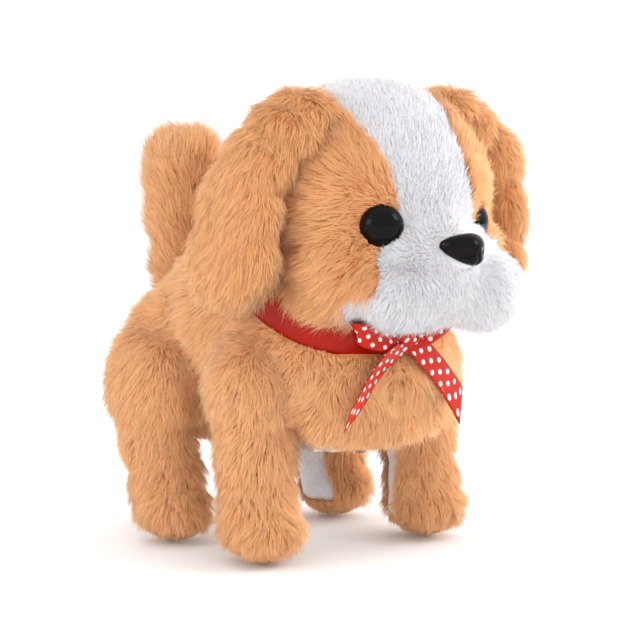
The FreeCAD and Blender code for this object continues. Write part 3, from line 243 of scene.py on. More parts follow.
def ribbon_material(name, dotted, length, width, dark, light):
    """Satin ribbon between two tones: crosswise threads, a woven edge and, if dotted,
    staggered pale dots. Lengths are in millimetres."""
    material, tree, shader = new_material(name)
    nodes, links = tree.nodes, tree.links
    uv = nodes.new("ShaderNodeUVMap")
    uv.uv_map = UV_NAME
    split = nodes.new("ShaderNodeSeparateXYZ")
    link(tree, uv, "UV", split, "Vector")

    def maths(operation, first, second=None, third=None):
        made = nodes.new("ShaderNodeMath")
        made.operation = operation
        for i, value in enumerate((first, second, third)):
            if value is None:
                continue
            if isinstance(value, (int, float)):
                made.inputs[i].default_value = value
            else:
                links.new(value, made.inputs[i])
        return made.outputs[0]

    along = maths("MULTIPLY", split.outputs["X"], length)
    over = maths("MULTIPLY", maths("SUBTRACT", split.outputs["Y"], 0.5), width)
    threads = nodes.new("ShaderNodeTexNoise")
    threads.inputs["Scale"].default_value = 1.0
    threads.inputs["Detail"].default_value = 3
    thread_place = nodes.new("ShaderNodeCombineXYZ")
    links.new(maths("MULTIPLY", along, 0.35), thread_place.inputs["X"])
    links.new(maths("MULTIPLY", over, 7.0), thread_place.inputs["Y"])
    links.new(thread_place.outputs["Vector"], threads.inputs["Vector"])
    tones = ramp(tree, [(0.3, dark), (0.7, light)])
    link(tree, threads, "Fac", tones, "Fac")
    edge = maths("GREATER_THAN", maths("ABSOLUTE", over), width / 2 - 0.45)
    edged = nodes.new("ShaderNodeMix")
    edged.data_type = "RGBA"
    links.new(maths("MULTIPLY", edge, 0.6), edged.inputs["Factor"])
    links.new(tones.outputs["Color"], edged.inputs[6])
    edged.inputs[7].default_value = (dark[0] * 0.8, dark[1] * 0.8, dark[2] * 0.8, 1)
    colour = edged.outputs[2]

    def from_dot(value, spacing, shift):
        """Distance to the nearest dot's centre along one direction, squared."""
        turns = maths("ADD", maths("DIVIDE", value, spacing), 10.5 + shift)
        gap = maths("SUBTRACT", maths("FRACT", turns), 0.5)
        return maths("POWER", maths("MULTIPLY", gap, spacing), 2.0)

    if dotted:
        shares = []
        for shift in (0.0, 0.5):
            far = maths("SQRT", maths("ADD", from_dot(along, DOT_PERIOD, shift), from_dot(over, 2 * DOT_ROWS, shift)))
            shares.append(maths("LESS_THAN", far, DOT_RADIUS))
        dots = nodes.new("ShaderNodeMix")
        dots.data_type = "RGBA"
        links.new(maths("MAXIMUM", *shares), dots.inputs["Factor"])
        links.new(colour, dots.inputs[6])
        dots.inputs[7].default_value = DOT_COLOUR
        colour = dots.outputs[2]
    links.new(colour, shader.inputs["Base Color"])
    shader.inputs["Roughness"].default_value = 0.3
    shader.inputs["Specular IOR Level"].default_value = 0.2
    return material


# ---- stuffed skins: overlapping swellings, melted into one closed surface ----


def swelling(centre, radii, turn=(0, 0, 0)):
    """One ellipsoid, in millimetres and degrees."""
    rotation = Euler([math.radians(a) for a in turn]).to_matrix()
    return np.array(centre, float), np.array(radii, float), rotation


def skin(name, swellings, material, voxel=1.5, rounds=10):
    """Ellipsoids joined by a voxel remesh and relaxed until their creases are soft."""
    mesh = bpy.data.meshes.new(name)
    form = bmesh.new()
    for centre, radii, rotation in swellings:
        place = Matrix.Translation(Vector(centre * MM)) @ rotation.to_4x4() @ Matrix.Diagonal((*(radii * MM), 1))
        bmesh.ops.create_icosphere(form, subdivisions=4, radius=1, matrix=place)
    form.to_mesh(mesh)
    form.free()
    thing = add_object(name + "_form", mesh)
    melt = thing.modifiers.new("melt", "REMESH")
    melt.mode = "VOXEL"
    melt.voxel_size = voxel * MM
    relax = thing.modifiers.new("relax", "SMOOTH")
    relax.factor = 0.6
    relax.iterations = rounds
    made = evaluated(thing, name)
    made.data.materials.append(material)
    return made


class Surface:
    """A skin's points and normals as arrays in millimetres, ready to be sampled."""

    def __init__(self, thing):
        mesh = thing.data
        mesh.calc_loop_triangles()
        points = np.zeros(len(mesh.vertices) * 3, np.float32)
        normals = np.zeros(len(mesh.vertices) * 3, np.float32)
        corners = np.zeros(len(mesh.loop_triangles) * 3, np.int32)
        mesh.vertices.foreach_get("co", points)
        mesh.vertices.foreach_get("normal", normals)
        mesh.loop_triangles.foreach_get("vertices", corners)
        self.points = points.reshape(-1, 3).astype(float) / MM
        self.normals = normals.reshape(-1, 3).astype(float)
        self.corners = corners.reshape(-1, 3)
        a, b, c = (self.points[self.corners[:, k]] for k in range(3))
        self.areas = np.linalg.norm(np.cross(b - a, c - a), axis=1) / 2

    def sample(self, density, rng):
        """Random points over the surface, with their normals."""
        count = int(self.areas.sum() * density)
        shares = np.cumsum(self.areas) / self.areas.sum()
        picks = np.searchsorted(shares, (np.arange(count) + rng.uniform(size=count)) / count)
        picks = np.minimum(picks, len(self.areas) - 1)
        u, v = rng.uniform(size=(2, count))
        flip = u + v > 1
        u[flip], v[flip] = 1 - u[flip], 1 - v[flip]
        weights = np.stack([1 - u - v, u, v], 1)[:, :, None]
        corner = self.corners[picks]
        return (self.points[corner] * weights).sum(1), unit((self.normals[corner] * weights).sum(1))


# ---- pile: closed three-sided spindles that bend at their middle and gather into soft tufts ----

STRAND_FACES = np.array([(0, 2, 1), (0, 3, 2), (0, 1, 3), (1, 2, 4), (2, 3, 4), (3, 1, 4)])
MOST_STRANDS = 32000


def nearest(points, centres):
    tree = kdtree.KDTree(len(centres))
    for i, centre in enumerate(centres):
        tree.insert(centre, i)
    tree.balance()
    return np.array([tree.find(point)[1] for point in points])


def strand_paths(roots, normals, lay, length, lift, bend):
    """Offsets from each root to its middle and tip. lift and bend are how upright its two halves stand."""
    first = unit(normals * lift + lay * (1 - lift))
    second = unit(normals * bend + lay * (1 - bend))
    mid = first * (length * 0.5)[:, None]
    return mid, mid + second * (length * 0.5)[:, None]


def grow(name, surface, body, material, density, length, lay, keep=None, lift=0.6, bend=0.28,
         tuft=2.7, gather=0.42, thick=0.095, wild=0.27, sway=0.3, tone=None, seed=1):
    """Covers part of a surface with strands, in as many pieces as the count needs. length, keep
    and lay take points and normals in millimetres; lay gives the way the pile is combed."""
    rng = np.random.default_rng(seed)
    roots, normals = surface.sample(density, rng)
    if keep is not None:
        kept = keep(roots, normals)
        roots, normals = roots[kept], normals[kept]
    centres, centre_normals = surface.sample(1 / tuft ** 2, rng)
    owner = nearest(roots, centres)

    def combed(points, around, jitter):
        drift = np.stack([lumps(points, 15, seed + k) + 0.8 * lumps(points, 6, seed + 9 + k)
                          for k in (70, 71, 72)], 1)
        way = lay(points, around) + sway * drift + jitter * rng.normal(size=points.shape)
        return unit(way - (way * around).sum(1, keepdims=True) * around)

    count = len(roots)
    base = length(roots, normals)
    tuft_scale = rng.uniform(0.88, 1.12, len(centres))
    guard_hair = rng.uniform(size=count) < 0.1
    own_length = base * tuft_scale[owner] * np.where(guard_hair, 1.22, rng.uniform(0.65, 1.08, count))
    tuft_length = length(centres, centre_normals) * tuft_scale
    tuft_lift = lift + rng.uniform(-0.12, 0.12, len(centres))
    tuft_bend = bend + rng.uniform(-0.12, 0.12, len(centres))
    tuft_lay = combed(centres, centre_normals, wild)
    tuft_mid, tuft_tip = strand_paths(centres, centre_normals, tuft_lay, tuft_length,
                                      tuft_lift[:, None], tuft_bend[:, None])
    loose = rng.uniform(-0.1, 0.1, (count, 1))
    own_lay = combed(roots, normals, wild)
    mid, tip = strand_paths(roots, normals, own_lay, own_length, lift + loose, bend + loose)
    shift = centres[owner] - roots
    scale = (own_length / np.maximum(tuft_length[owner], 0.1))[:, None]
    pull = gather * rng.uniform(0.3, 1.3, (count, 1))
    mid = mid * (1 - 0.45 * pull) + (tuft_mid[owner] * scale + shift) * 0.45 * pull
    tip = tip * (1 - pull) + (tuft_tip[owner] * scale + shift) * pull
    across = unit(np.cross(tip, rng.normal(size=(count, 3))))
    other = unit(np.cross(tip, across))
    width = thick * rng.uniform(0.75, 1.25, (count, 1))

    points = np.zeros((count, 5, 3))
    facing = np.zeros((count, 5, 3))
    points[:, 0] = roots - normals * 0.9
    facing[:, 0] = normals
    for corner in range(3):
        angle = corner * 2 * math.pi / 3
        side = across * math.cos(angle) + other * math.sin(angle)
        points[:, 1 + corner] = roots + mid * 0.9 + side * width
        facing[:, 1 + corner] = normals * 0.9 + side * 0.45
    points[:, 4] = roots + tip
    facing[:, 4] = normals * 0.9 + unit(tip) * 0.3
    facing = unit(facing)
    shade = rng.uniform(0.15, 1.0, count) * 0.65 + 0.35 * rng.uniform(size=len(centres))[owner]
    if tone is not None:
        shade = shade + tone(roots)
    shade = np.clip(shade, 0.02, 0.97)

    made = []
    by_height = np.argsort(roots[:, 2])
    for part, chosen in enumerate(np.array_split(by_height, max(1, math.ceil(count / MOST_STRANDS)))):
        piece = strand_mesh(f"{name}_{part}", points[chosen] * MM, facing[chosen], shade[chosen], material)
        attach(piece, body)
        made.append(piece)
    return made


def strand_mesh(name, points, facing, shade, material):
    """One mesh of strands, each with its root, a ring of three corners and its tip."""
    count = len(points)
    mesh = bpy.data.meshes.new(name)
    loops = STRAND_FACES.ravel()
    faces = len(STRAND_FACES)
    corners = (loops[None, :] + 5 * np.arange(count)[:, None]).ravel()
    mesh.vertices.add(count * 5)
    mesh.vertices.foreach_set("co", points.reshape(-1).astype(np.float32))
    mesh.loops.add(len(corners))
    mesh.loops.foreach_set("vertex_index", corners.astype(np.int32))
    mesh.polygons.add(faces * count)
    mesh.polygons.foreach_set("loop_start", (3 * np.arange(faces * count)).astype(np.int32))
    mesh.polygons.foreach_set("loop_total", np.full(faces * count, 3, np.int32))
    mesh.polygons.foreach_set("use_smooth", np.ones(faces * count, bool))
    uv = mesh.uv_layers.new(name=UV_NAME)
    v_of = np.array([0.03, 0.42, 0.42, 0.42, 0.97])
    u_of = np.array([0.0, -0.006, 0.0, 0.006, 0.0])
    values = np.zeros((count, len(loops), 2), np.float32)
    values[:, :, 0] = shade[:, None] + u_of[loops][None, :]
    values[:, :, 1] = v_of[loops][None, :]
    uv.data.foreach_set("uv", values.ravel())
    mesh.update(calc_edges=True)
    mesh.normals_split_custom_set_from_vertices(facing.reshape(-1, 3).tolist())
    return add_object(name, mesh, material)


# ---- the toy's reference points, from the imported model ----

HIP_Z = pivot("leg_fl_swing")[2]
HEAD = middle("head_stuffing")
HEAD[2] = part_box("head_plush")[1].z / MM - 38
EYES = {side: middle("eye_" + side) for side in ("left", "right")}
TAIL = middle("tail_plush")
NOSE = middle("nose")
RIBBON = middle("neck_ribbon")
RIBBON_TILT = math.radians(26)


# ---- head ----

head_skin = skin("head_skin", [
    swelling(HEAD, (41, 35, 36)),
    swelling(HEAD + (0, 3, 9), (38, 32, 32.5)),
    *[swelling(HEAD + (side * 25, -12, -18), (15.5, 17, 15)) for side in (-1, 1)],
    swelling(HEAD + (-16, -31.5, -27.5), (15, 12, 11)),
    swelling(HEAD + (18, -34, -28.5), (15, 13, 12)),
    swelling(HEAD + (1, -32, -25), (17, 13, 12)),
    swelling((0, HEAD[1] - 31, HEAD[2] - 18), (13, 16, 12)),
    swelling(HEAD + (0, -25, -9), (12.5, 13.5, 13)),
    *[swelling(HEAD + (side * 12, -28.5, -17), (11, 11, 10)) for side in (-1, 1)],
    swelling(HEAD + (0, -24, -30), (20, 12, 10)),
    *[swelling(HEAD + (side * 20, -3, -29), (16.5, 22, 10)) for side in (-1, 1)],
], ORANGE_CLOTH, rounds=18)
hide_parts("head_plush", "head_stuffing")
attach(head_skin, "head")
head_surface = Surface(head_skin)
head_skin.data.materials.append(WHITE_CLOTH)

# Edges of the white strip and of the white flews, in millimetres across at heights above HEAD.
STRIP_HEIGHTS = [-16, -4, 2, 9, 15, 24, 30, 36]
STRIP_RIGHT = [-15, -16.5, -17, -19, -20, -21.5, -23.5, -25]
STRIP_LEFT = [12.5, 14, 13.5, 12.5, 12.5, 13.5, 17, 20]
FLEW_HEIGHTS = [-48, -40, -30, -22, -14, -6]
FLEW_RIGHT = [28, 28.8, 31, 27.6, 22.4, 17]
FLEW_LEFT = [28, 30, 33, 30.5, 25, 19.5]


def blaze(points):
    """True on the white strip from the nose up over the crown."""
    height = points[:, 2] - HEAD[2]
    right = points[:, 0] > np.interp(height, STRIP_HEIGHTS, STRIP_RIGHT)
    left = points[:, 0] < np.interp(height, STRIP_HEIGHTS, STRIP_LEFT)
    return right & left & (height > -16) & (points[:, 1] < HEAD[1] + 14)


def muzzle(points):
    """True on the white flews, which widen from the nose down to their lower edge."""
    height = points[:, 2] - HEAD[2]
    right = points[:, 0] > -np.interp(height, FLEW_HEIGHTS, FLEW_RIGHT)
    left = points[:, 0] < np.interp(height, FLEW_HEIGHTS, FLEW_LEFT)
    behind = HEAD[1] - np.interp(height, [-42, -24], [19, 9])
    sides = right & left & (height < -7) & (points[:, 1] < behind)
    return sides | (right & (points[:, 1] < HEAD[1] - 26) & (height < -13))


def white(points):
    return blaze(points) | muzzle(points)


def off_face(points):
    """Distance to the nearest eye or to the nose, less its own radius."""
    near = np.where(white(points), 7.4, 7.2)
    gaps = [np.linalg.norm(points - eye, axis=1) - near for eye in EYES.values()]
    nose = (points - NOSE - (0, -3, 0)) / (1.0, 1.0, 0.8)
    return np.minimum(np.minimum(*gaps), np.linalg.norm(nose, axis=1) - 7.4)


def head_length(points, normals):
    gap = off_face(points)
    low = smooth((HEAD[2] - 22 - points[:, 2]) / 14)
    pale = white(points)
    fringe = smooth((HEAD[2] - 33 - points[:, 2]) / 8)
    full = np.where(pale, 4.3 + 1.4 * low + 2.4 * fringe, 8.0 + 2.0 * low)
    short = np.where(pale & (np.abs(points[:, 0]) > 9), 0.9, 0.55)
    return full * (short + (1 - short) * smooth(gap / 10))


def head_lay(points, normals):
    away = unit(points - (HEAD + (0, -46, -12)))
    sides = smooth((np.abs(points[:, 0]) - 12) / 20)[:, None]
    down = np.array([0, 0.1, -1.0])
    below = smooth((HEAD[2] + 12 - points[:, 2]) / 40)[:, None]
    field = away + down * sides * below * 0.9
    lower = smooth((NOSE[2] + 3 - points[:, 2]) / 14)[:, None]
    flews = unit(points - (NOSE + (0, 8, 2))) + down * 0.8 * lower
    strip_way = np.array([0, 0.5, 1.0])
    share = smooth((points[:, 2] - NOSE[2]) / 16)[:, None]
    face = flews * (1 - share) + strip_way * share
    for eye in EYES.values():
        close = smooth((12 - np.linalg.norm(points - eye, axis=1)) / 4)[:, None]
        face = face * (1 - close) + unit(eye + (0, -6, 0) - points) * close
    return np.where(white(points)[:, None], face, field)


def head_free(points):
    """False at the neck opening and under the eyes and the nose, which stay bare."""
    neck = (points[:, 2] < HEAD[2] - 32) & (np.hypot(points[:, 0], points[:, 1] - HEAD[1] - 6) < 17)
    return (off_face(points) > 0.0) & ~neck


white_faces = white(np.array([polygon.center for polygon in head_skin.data.polygons]) / MM)
for polygon, is_white in zip(head_skin.data.polygons, white_faces):
    polygon.material_index = int(is_white)

grow("head_pile", head_surface, "head", ORANGE_FUR, 7.4, head_length, head_lay,
     keep=lambda p, n: head_free(p) & ~white(p), tone=lambda p: 0.14 * lumps(p, 18, 5), sway=0.45, seed=11)
white_pieces = grow("face_pile", head_surface, "head", WHITE_FUR, 8.5, head_length, head_lay,
                    keep=lambda p, n: head_free(p) & white(p), gather=0.16, tuft=2.4, lift=0.6, bend=0.36,
                    thick=0.1, wild=0.3, sway=0.25, seed=12)
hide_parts("blaze_panel", "muzzle_plush")

# ---- ears ----


def ear(side, name):
    """One ear, hanging from its hinge; the left one stands further out and forward, as in the photo."""
    x, y, z = pivot(f"ear_{name}_lift") - (0, 0, 8)
    out, fore, drop = (4.0, -5.0, 4.0) if side > 0 else (0.0, 0.0, 0.0)

    def lobe(across, along, up, radii, lean):
        return swelling((x + side * (across + out), y + along + fore, z + up), radii, (0, -side * lean, 0))

    thing = skin(f"ear_{name}_skin", [
        lobe(13.5, 6.5, -46 - drop, (6.0, 19.0, 16.0), 4),
        lobe(11.5 + out * 0.9, 4.5, -31 - drop * 0.5, (6.5, 17.5, 19.0), 10),
        lobe(7.0 + out * 0.6, -0.5, -15, (8.0, 14.0, 13.5), 26),
        lobe(-0.5 - out * 0.6, -5.0 - fore, -5.5, (10.5, 12.5, 7.0), 50),
        lobe(-6.0 - out, -6.0 - fore, -0.5, (9.5, 11.0, 6.0), 66),
        lobe(-10.5 - out, -9.0 - fore, 1.0, (6.5, 8.0, 4.5), 72),
    ], ORANGE_CLOTH)
    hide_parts(f"ear_{name}")
    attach(thing, f"ear_{name}_flap")

    def ear_length(points, normals):
        return 7.5 + 3.0 * smooth((z - 30 - points[:, 2]) / 32)

    def ear_lay(points, normals):
        spread = (points - (0, y, 0)) * (0, 0.016, 0)
        return np.array([side * 0.12, 0.22, -1.0]) + spread

    grow(f"ear_{name}_pile", Surface(thing), f"ear_{name}_flap", ORANGE_FUR, 7.0,
         ear_length, ear_lay, lift=0.48, bend=0.2, tone=lambda p: 0.12 * lumps(p, 18, 8) + 0.05,
         seed=20 + side)


for side, name in ((1, "left"), (-1, "right")):
    ear(side, name)

# ---- torso ----

torso_skin = skin("torso_skin", [
    swelling((0, 12, HIP_Z + 18), (39, 53, 31)),
    swelling((0, -22, HIP_Z + 5), (39, 31, 27)),
    swelling((0, -24, HIP_Z + 24), (33, 25, 15), (20, 0, 0)),
    swelling((0, 45.5, HIP_Z + 3), (41, 28.5, 32)),
    swelling((-30, -16, HIP_Z + 8), (11, 19, 21)),
    swelling((33, -17, HIP_Z + 6), (11, 19, 21)),
    *[swelling((side * 31, 42, HIP_Z + 2), (11, 22, 24)) for side in (-1, 1)],
    swelling((0, -36, HIP_Z - 12), (28, 13, 9.5)),
    *[swelling((side * 13, 8, HIP_Z - 10), (17.5, 44, 12.5)) for side in (-1, 1)],
], ORANGE_CLOTH, voxel=1.8)
# The cloth is pressed up to the battery bay's roof, so that none of it hangs inside the bay.
BAY_HALF, BAY_FRONT, BAY_BACK, BAY_ROOF = 18.6, -24.6, 34.6, 57.75
for vertex in torso_skin.data.vertices:
    if abs(vertex.co.x) < BAY_HALF * MM and BAY_FRONT * MM < vertex.co.y < BAY_BACK * MM:
        vertex.co.z = max(vertex.co.z, BAY_ROOF * MM)
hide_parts("torso_plush", "torso_stuffing")
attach(torso_skin, "torso")

RIBBON_FRAME = np.array(Euler((RIBBON_TILT, 0, 0)).to_matrix())
RIBBON_CENTRE = np.array([0, RIBBON[1], RIBBON[2]])
RIBBON_RX, RIBBON_RY, RIBBON_WIDTH = 40.0, 33.5, 12.0
UNDER_BAND = 1.04


def band_place(points):
    """Height above the middle of the neck ribbon, square to its ring, and distance from its axis
    as a share of the ring's own."""
    local = (points - RIBBON_CENTRE) @ RIBBON_FRAME
    return local[:, 2], np.hypot(local[:, 0] / RIBBON_RX, local[:, 1] / RIBBON_RY)


def torso_free(points, normals):
    """False at the battery door, the switch, inside the bay and under the neck ribbon."""
    x, y, z = np.abs(points[:, 0]), points[:, 1], points[:, 2]
    below = z < HIP_Z - 17
    door = below & (x < 18.5) & (y > -25) & (y < 43)
    switch = below & (x < 6) & (y > -34) & (y < -25)
    bay = (x < 21) & (y > -27) & (y < 37) & (z > HIP_Z - 17) & (z < BAY_ROOF + 0.5)
    height, reach = band_place(points)
    under_band = (np.abs(height) < RIBBON_WIDTH * 0.5 - 0.5) | (height > RIBBON_WIDTH * 0.5 + 9)
    return ~door & ~switch & ~bay & ~(under_band & (reach < UNDER_BAND))


def torso_length(points, normals):
    height, reach = band_place(points)
    under = np.maximum(smooth((np.abs(height) - RIBBON_WIDTH * 0.5) / 6), smooth((reach - UNDER_BAND) / 0.12))
    hanging = smooth((HIP_Z - 12 - points[:, 2]) / 10)
    return (9.0 - 3.6 * hanging) * (0.35 + 0.65 * under)


def torso_lay(points, normals):
    chest = smooth((-20 - points[:, 1]) / 20)[:, None]
    back = np.array([0, 0.75, -0.75])
    front = np.array([0, 0.1, -1.0]) + points * (0.012, 0, 0)
    return back * (1 - chest) + front * chest


# The +0.2 in the tone lightens these strands as painted light against the shade on the body; the lumps are random
# tone.
grow("torso_pile", Surface(torso_skin), "torso", BODY_FUR_PAINTED_LIGHT, 6.4, torso_length, torso_lay,
     keep=torso_free, tone=lambda p: 0.15 * lumps(p, 20, 3) + 0.2, tuft=3.0, sway=0.45, seed=31)

# ---- legs ----


def leg(name, side, fore):
    """One leg: its stuffed skin, its pile and the knitted panel on its inner side."""
    hip = pivot(f"leg_{name}_swing")
    x, y = side * 39.0, hip[1]
    body = "leg_" + name
    if fore:
        form = [
            swelling((x + side * 1, y, HIP_Z - 2), (10.5, 15, 17)),
            swelling((x, y - 1, 40), (10.2, 11.8, 20)),
            swelling((x, y - 3, 22), (10.2, 11.2, 16)),
            swelling((x, y - 5, 12), (10.8, 13.5, 10.4)),
        ]
    else:
        form = [
            swelling((x + side * 1, y + 3, HIP_Z - 6), (11, 19, 21)),
            swelling((x, y + 1, 40), (10.6, 13, 18)),
            swelling((x, y - 4, 23), (10.4, 11.5, 15)),
            swelling((x, y - 8, 12), (10.6, 12.5, 10.4)),
        ]
    thing = skin(f"leg_{name}_skin", form, ORANGE_CLOTH)
    flatten(thing, 1.6)
    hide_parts("leg_plush_" + name)
    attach(thing, body)
    surface = Surface(thing)

    def inner(points, normals):
        """The side that faces the other leg, below the body."""
        rear_half = points[:, 1] > y - 3 if fore else np.ones(len(points), bool)
        return (normals[:, 0] * side < -0.70) & (points[:, 2] > 9) & (points[:, 2] < 50) & rear_half

    def leg_length(points, normals):
        sole = smooth((points[:, 2] - 1.5) / 13)
        return (8.2 + 0.6 * lumps(points, 22, 9)) * (0.3 + 0.7 * sole)

    def leg_lay(points, normals):
        outward = (points - (x, y, 0)) * (0.02, 0.02, 0)
        low = smooth((20 - points[:, 2]) / 14)[:, None]
        return np.array([0, 0.1, -1.0]) * (1 - 0.5 * low) + outward * (1 + 0.4 * low)

    # The +0.2 in the tone lightens these strands as painted light against the shade on the legs; the lumps are random
    # tone.
    grow(f"leg_{name}_pile", surface, body, BODY_FUR_PAINTED_LIGHT, 6.8, leg_length, leg_lay,
         keep=lambda p, n: ~inner(p, n) & (p[:, 2] > 2.2), tone=lambda p: 0.14 * lumps(p, 18, 4) + 0.2,
         seed=400 + int(round(hip[0])) + 2 * int(round(hip[1])))
    lining(name, thing, inner, body)


def flatten(thing, floor):
    """Presses everything under a height, in millimetres, onto it: the sole stands on the ground."""
    for vertex in thing.data.vertices:
        vertex.co.z = max(vertex.co.z, floor * MM)


def lining(name, thing, inner, body):
    """The knitted panel on a leg's inner side: the skin's own faces there, lifted and given a thickness."""
    form = bmesh.new()
    form.from_mesh(thing.data)
    form.normal_update()
    centres = np.array([face.calc_center_median() for face in form.faces]) / MM
    normals = np.array([face.normal for face in form.faces])
    chosen = inner(centres, normals)
    spare = [face for face, keep in zip(form.faces, chosen) if not keep]
    bmesh.ops.delete(form, geom=spare, context="FACES")
    for vertex in form.verts:
        vertex.co += vertex.normal * 0.5 * MM
    mesh = bpy.data.meshes.new(f"leg_{name}_knit")
    form.to_mesh(mesh)
    form.free()
    panel = add_object(f"leg_{name}_knit_form", mesh)
    shell = panel.modifiers.new("shell", "SOLIDIFY")
    shell.thickness = 1.0 * MM
    shell.offset = 0.6
    panel = evaluated(panel, f"leg_{name}_knit")
    panel.data.materials.append(KNIT)
    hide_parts("leg_lining_" + name)
    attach(panel, body)


for name, side, fore in (("fl", 1, True), ("fr", -1, True), ("rl", 1, False), ("rr", -1, False)):
    leg(name, side, fore)

# ---- tail ----

tail_skin = skin("tail_skin", [
    swelling((0, TAIL[1], TAIL[2] - 22), (9, 10, 15)),
    swelling((0, TAIL[1] + 1.0, TAIL[2] - 4), (9.8, 11.5, 18)),
    swelling((0, TAIL[1] + 1.5, TAIL[2] + 11), (10.2, 13, 13)),
    *[swelling((0, TAIL[1] + 1.0 + reach, TAIL[2] + 18), (8, 7.5, 8.5)) for reach in (-6, 6)],
], ORANGE_CLOTH)
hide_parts("tail_plush")
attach(tail_skin, "tail")


def tail_lay(points, normals):
    return np.array([0, 0.2, 1.0]) + (points - (0, TAIL[1], 0)) * (0.03, 0.03, 0)


# The +0.15 in the tone lightens these strands as painted light against the shade on the tail; the lumps are random
# tone.
grow("tail_pile", Surface(tail_skin), "tail", BODY_FUR_PAINTED_LIGHT, 7.0,
     lambda p, n: np.full(len(p), 9.5), tail_lay, lift=0.62, bend=0.3,
     tone=lambda p: 0.14 * lumps(p, 18, 6) + 0.15, seed=61)

# ---- ribbons ----


def strip(name, centre_line, sides, width, thickness, material, samples=90, rows=8, crown=0.0, slant=0.0):
    """A ribbon along a smooth line of control points, in millimetres. sides gives the ribbon's
    crosswise direction at each point, and slant how far its last end is cut on the skew.
    Returns the piece and the length of its middle."""
    count = len(centre_line)
    place = np.linspace(0, 1, count)
    fine = np.linspace(0, 1, samples)
    line = np.stack([catmull(place, np.array(centre_line, float)[:, k], fine) for k in range(3)], 1)
    across = unit(np.stack([catmull(place, np.array(sides, float)[:, k], fine) for k in range(3)], 1))
    along = unit(np.gradient(line, axis=0))
    across = unit(across - (across * along).sum(1, keepdims=True) * along)
    facing = np.cross(along, across)
    travelled = np.concatenate([[0], np.cumsum(np.linalg.norm(np.diff(line, axis=0), axis=1))])
    widths = width if np.ndim(width) else np.full(samples, width)
    mesh = bpy.data.meshes.new(name)
    form = bmesh.new()
    layer = form.loops.layers.uv.new(UV_NAME)
    grid, uvs = [], {}
    for i in range(samples):
        row = []
        for j in range(rows + 1):
            share = j / rows - 0.5
            lift = crown * (1 - 4 * share * share)
            skew = slant * share * widths[i] * smooth((travelled[i] / travelled[-1] - 0.6) / 0.4)
            point = line[i] + across[i] * widths[i] * share + facing[i] * lift + along[i] * skew
            vertex = form.verts.new(point * MM)
            uvs[vertex] = (travelled[i] / travelled[-1] * 0.98 + 0.01, j / rows * 0.98 + 0.01)
            row.append(vertex)
        grid.append(row)
    for i in range(samples - 1):
        for j in range(rows):
            face = form.faces.new((grid[i][j], grid[i + 1][j], grid[i + 1][j + 1], grid[i][j + 1]))
            for loop in face.loops:
                loop[layer].uv = uvs[loop.vert]
    form.to_mesh(mesh)
    form.free()
    piece = add_object(name + "_form", mesh)
    shell = piece.modifiers.new("shell", "SOLIDIFY")
    shell.thickness = thickness * MM
    shell.offset = 0
    piece = evaluated(piece, name)
    piece.data.materials.clear()
    piece.data.materials.append(material)
    return piece, travelled[-1]


def catmull(knots, values, at):
    """A smooth curve through values at even knots."""
    slopes = np.gradient(values, knots)
    index = np.clip(np.searchsorted(knots, at) - 1, 0, len(knots) - 2)
    gap = knots[index + 1] - knots[index]
    t = (at - knots[index]) / gap
    h00, h10 = 2 * t ** 3 - 3 * t ** 2 + 1, t ** 3 - 2 * t ** 2 + t
    h01, h11 = -2 * t ** 3 + 3 * t ** 2, t ** 3 - t ** 2
    return h00 * values[index] + h10 * gap * slopes[index] + \
        h01 * values[index + 1] + h11 * gap * slopes[index + 1]


def ring_point(angle, grow_by=0.0, rise=0.0):
    """A point on the neck ring; angle 0 is at the puppy's left and -90 degrees at its front."""
    across, fore = (RIBBON_RX + grow_by) * math.cos(angle), (RIBBON_RY + grow_by) * math.sin(angle)
    return RIBBON_CENTRE + RIBBON_FRAME @ np.array([across, fore, rise])


START = math.radians(-90)
angles = [START + 2 * math.pi * k / 36 for k in range(37)]
ripple = [0.5 * math.sin(3 * a + 1) + 0.35 * math.sin(7 * a) for a in angles]
ring_line = [ring_point(a, r, 0.4 * math.sin(5 * a)) for a, r in zip(angles, ripple)]
ring_line[-1] = ring_point(angles[-1], 0.9)
ring_line[0] = ring_point(angles[0], -0.2)
ring_sides = [RIBBON_FRAME[:, 2] + 0.12 * math.sin(2 * a) * RIBBON_FRAME[:, 1] for a in angles]
BAND_SATIN = ribbon_material("red_satin", False, 232.0, RIBBON_WIDTH, (0.27, 0.004, 0.001), (0.43, 0.010, 0.002))
neck_ribbon, ring_length = strip("neck_band", ring_line, ring_sides, RIBBON_WIDTH, 0.35, BAND_SATIN,
                                 samples=200, crown=0.5)
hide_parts("neck_ribbon")
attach(neck_ribbon, "torso")

KNOT = ring_point(START, 2.0) + (-3.5, -2.5, 2.2)
BOW_WIDTH, BOW_SAMPLES = 10.0, 70


def bow_strip(name, points, sides, shares, widths, dot_length, slant=0.0):
    """A strip of the bow through points about the knot. It is gathered to widths at shares of its
    length, and its dots are spaced as on a ribbon of dot_length. Lengths are in millimetres."""
    line = [KNOT + np.array(p, float) for p in points]
    width = np.interp(np.linspace(0, 1, BOW_SAMPLES), shares, widths)
    satin = ribbon_material(name + "_satin", True, dot_length, BOW_WIDTH, (0.42, 0.008, 0.002), (0.54, 0.017, 0.004))
    piece, length = strip(name, line, sides, width, 0.3, satin, samples=BOW_SAMPLES, slant=slant)
    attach(piece, "torso")
    return piece


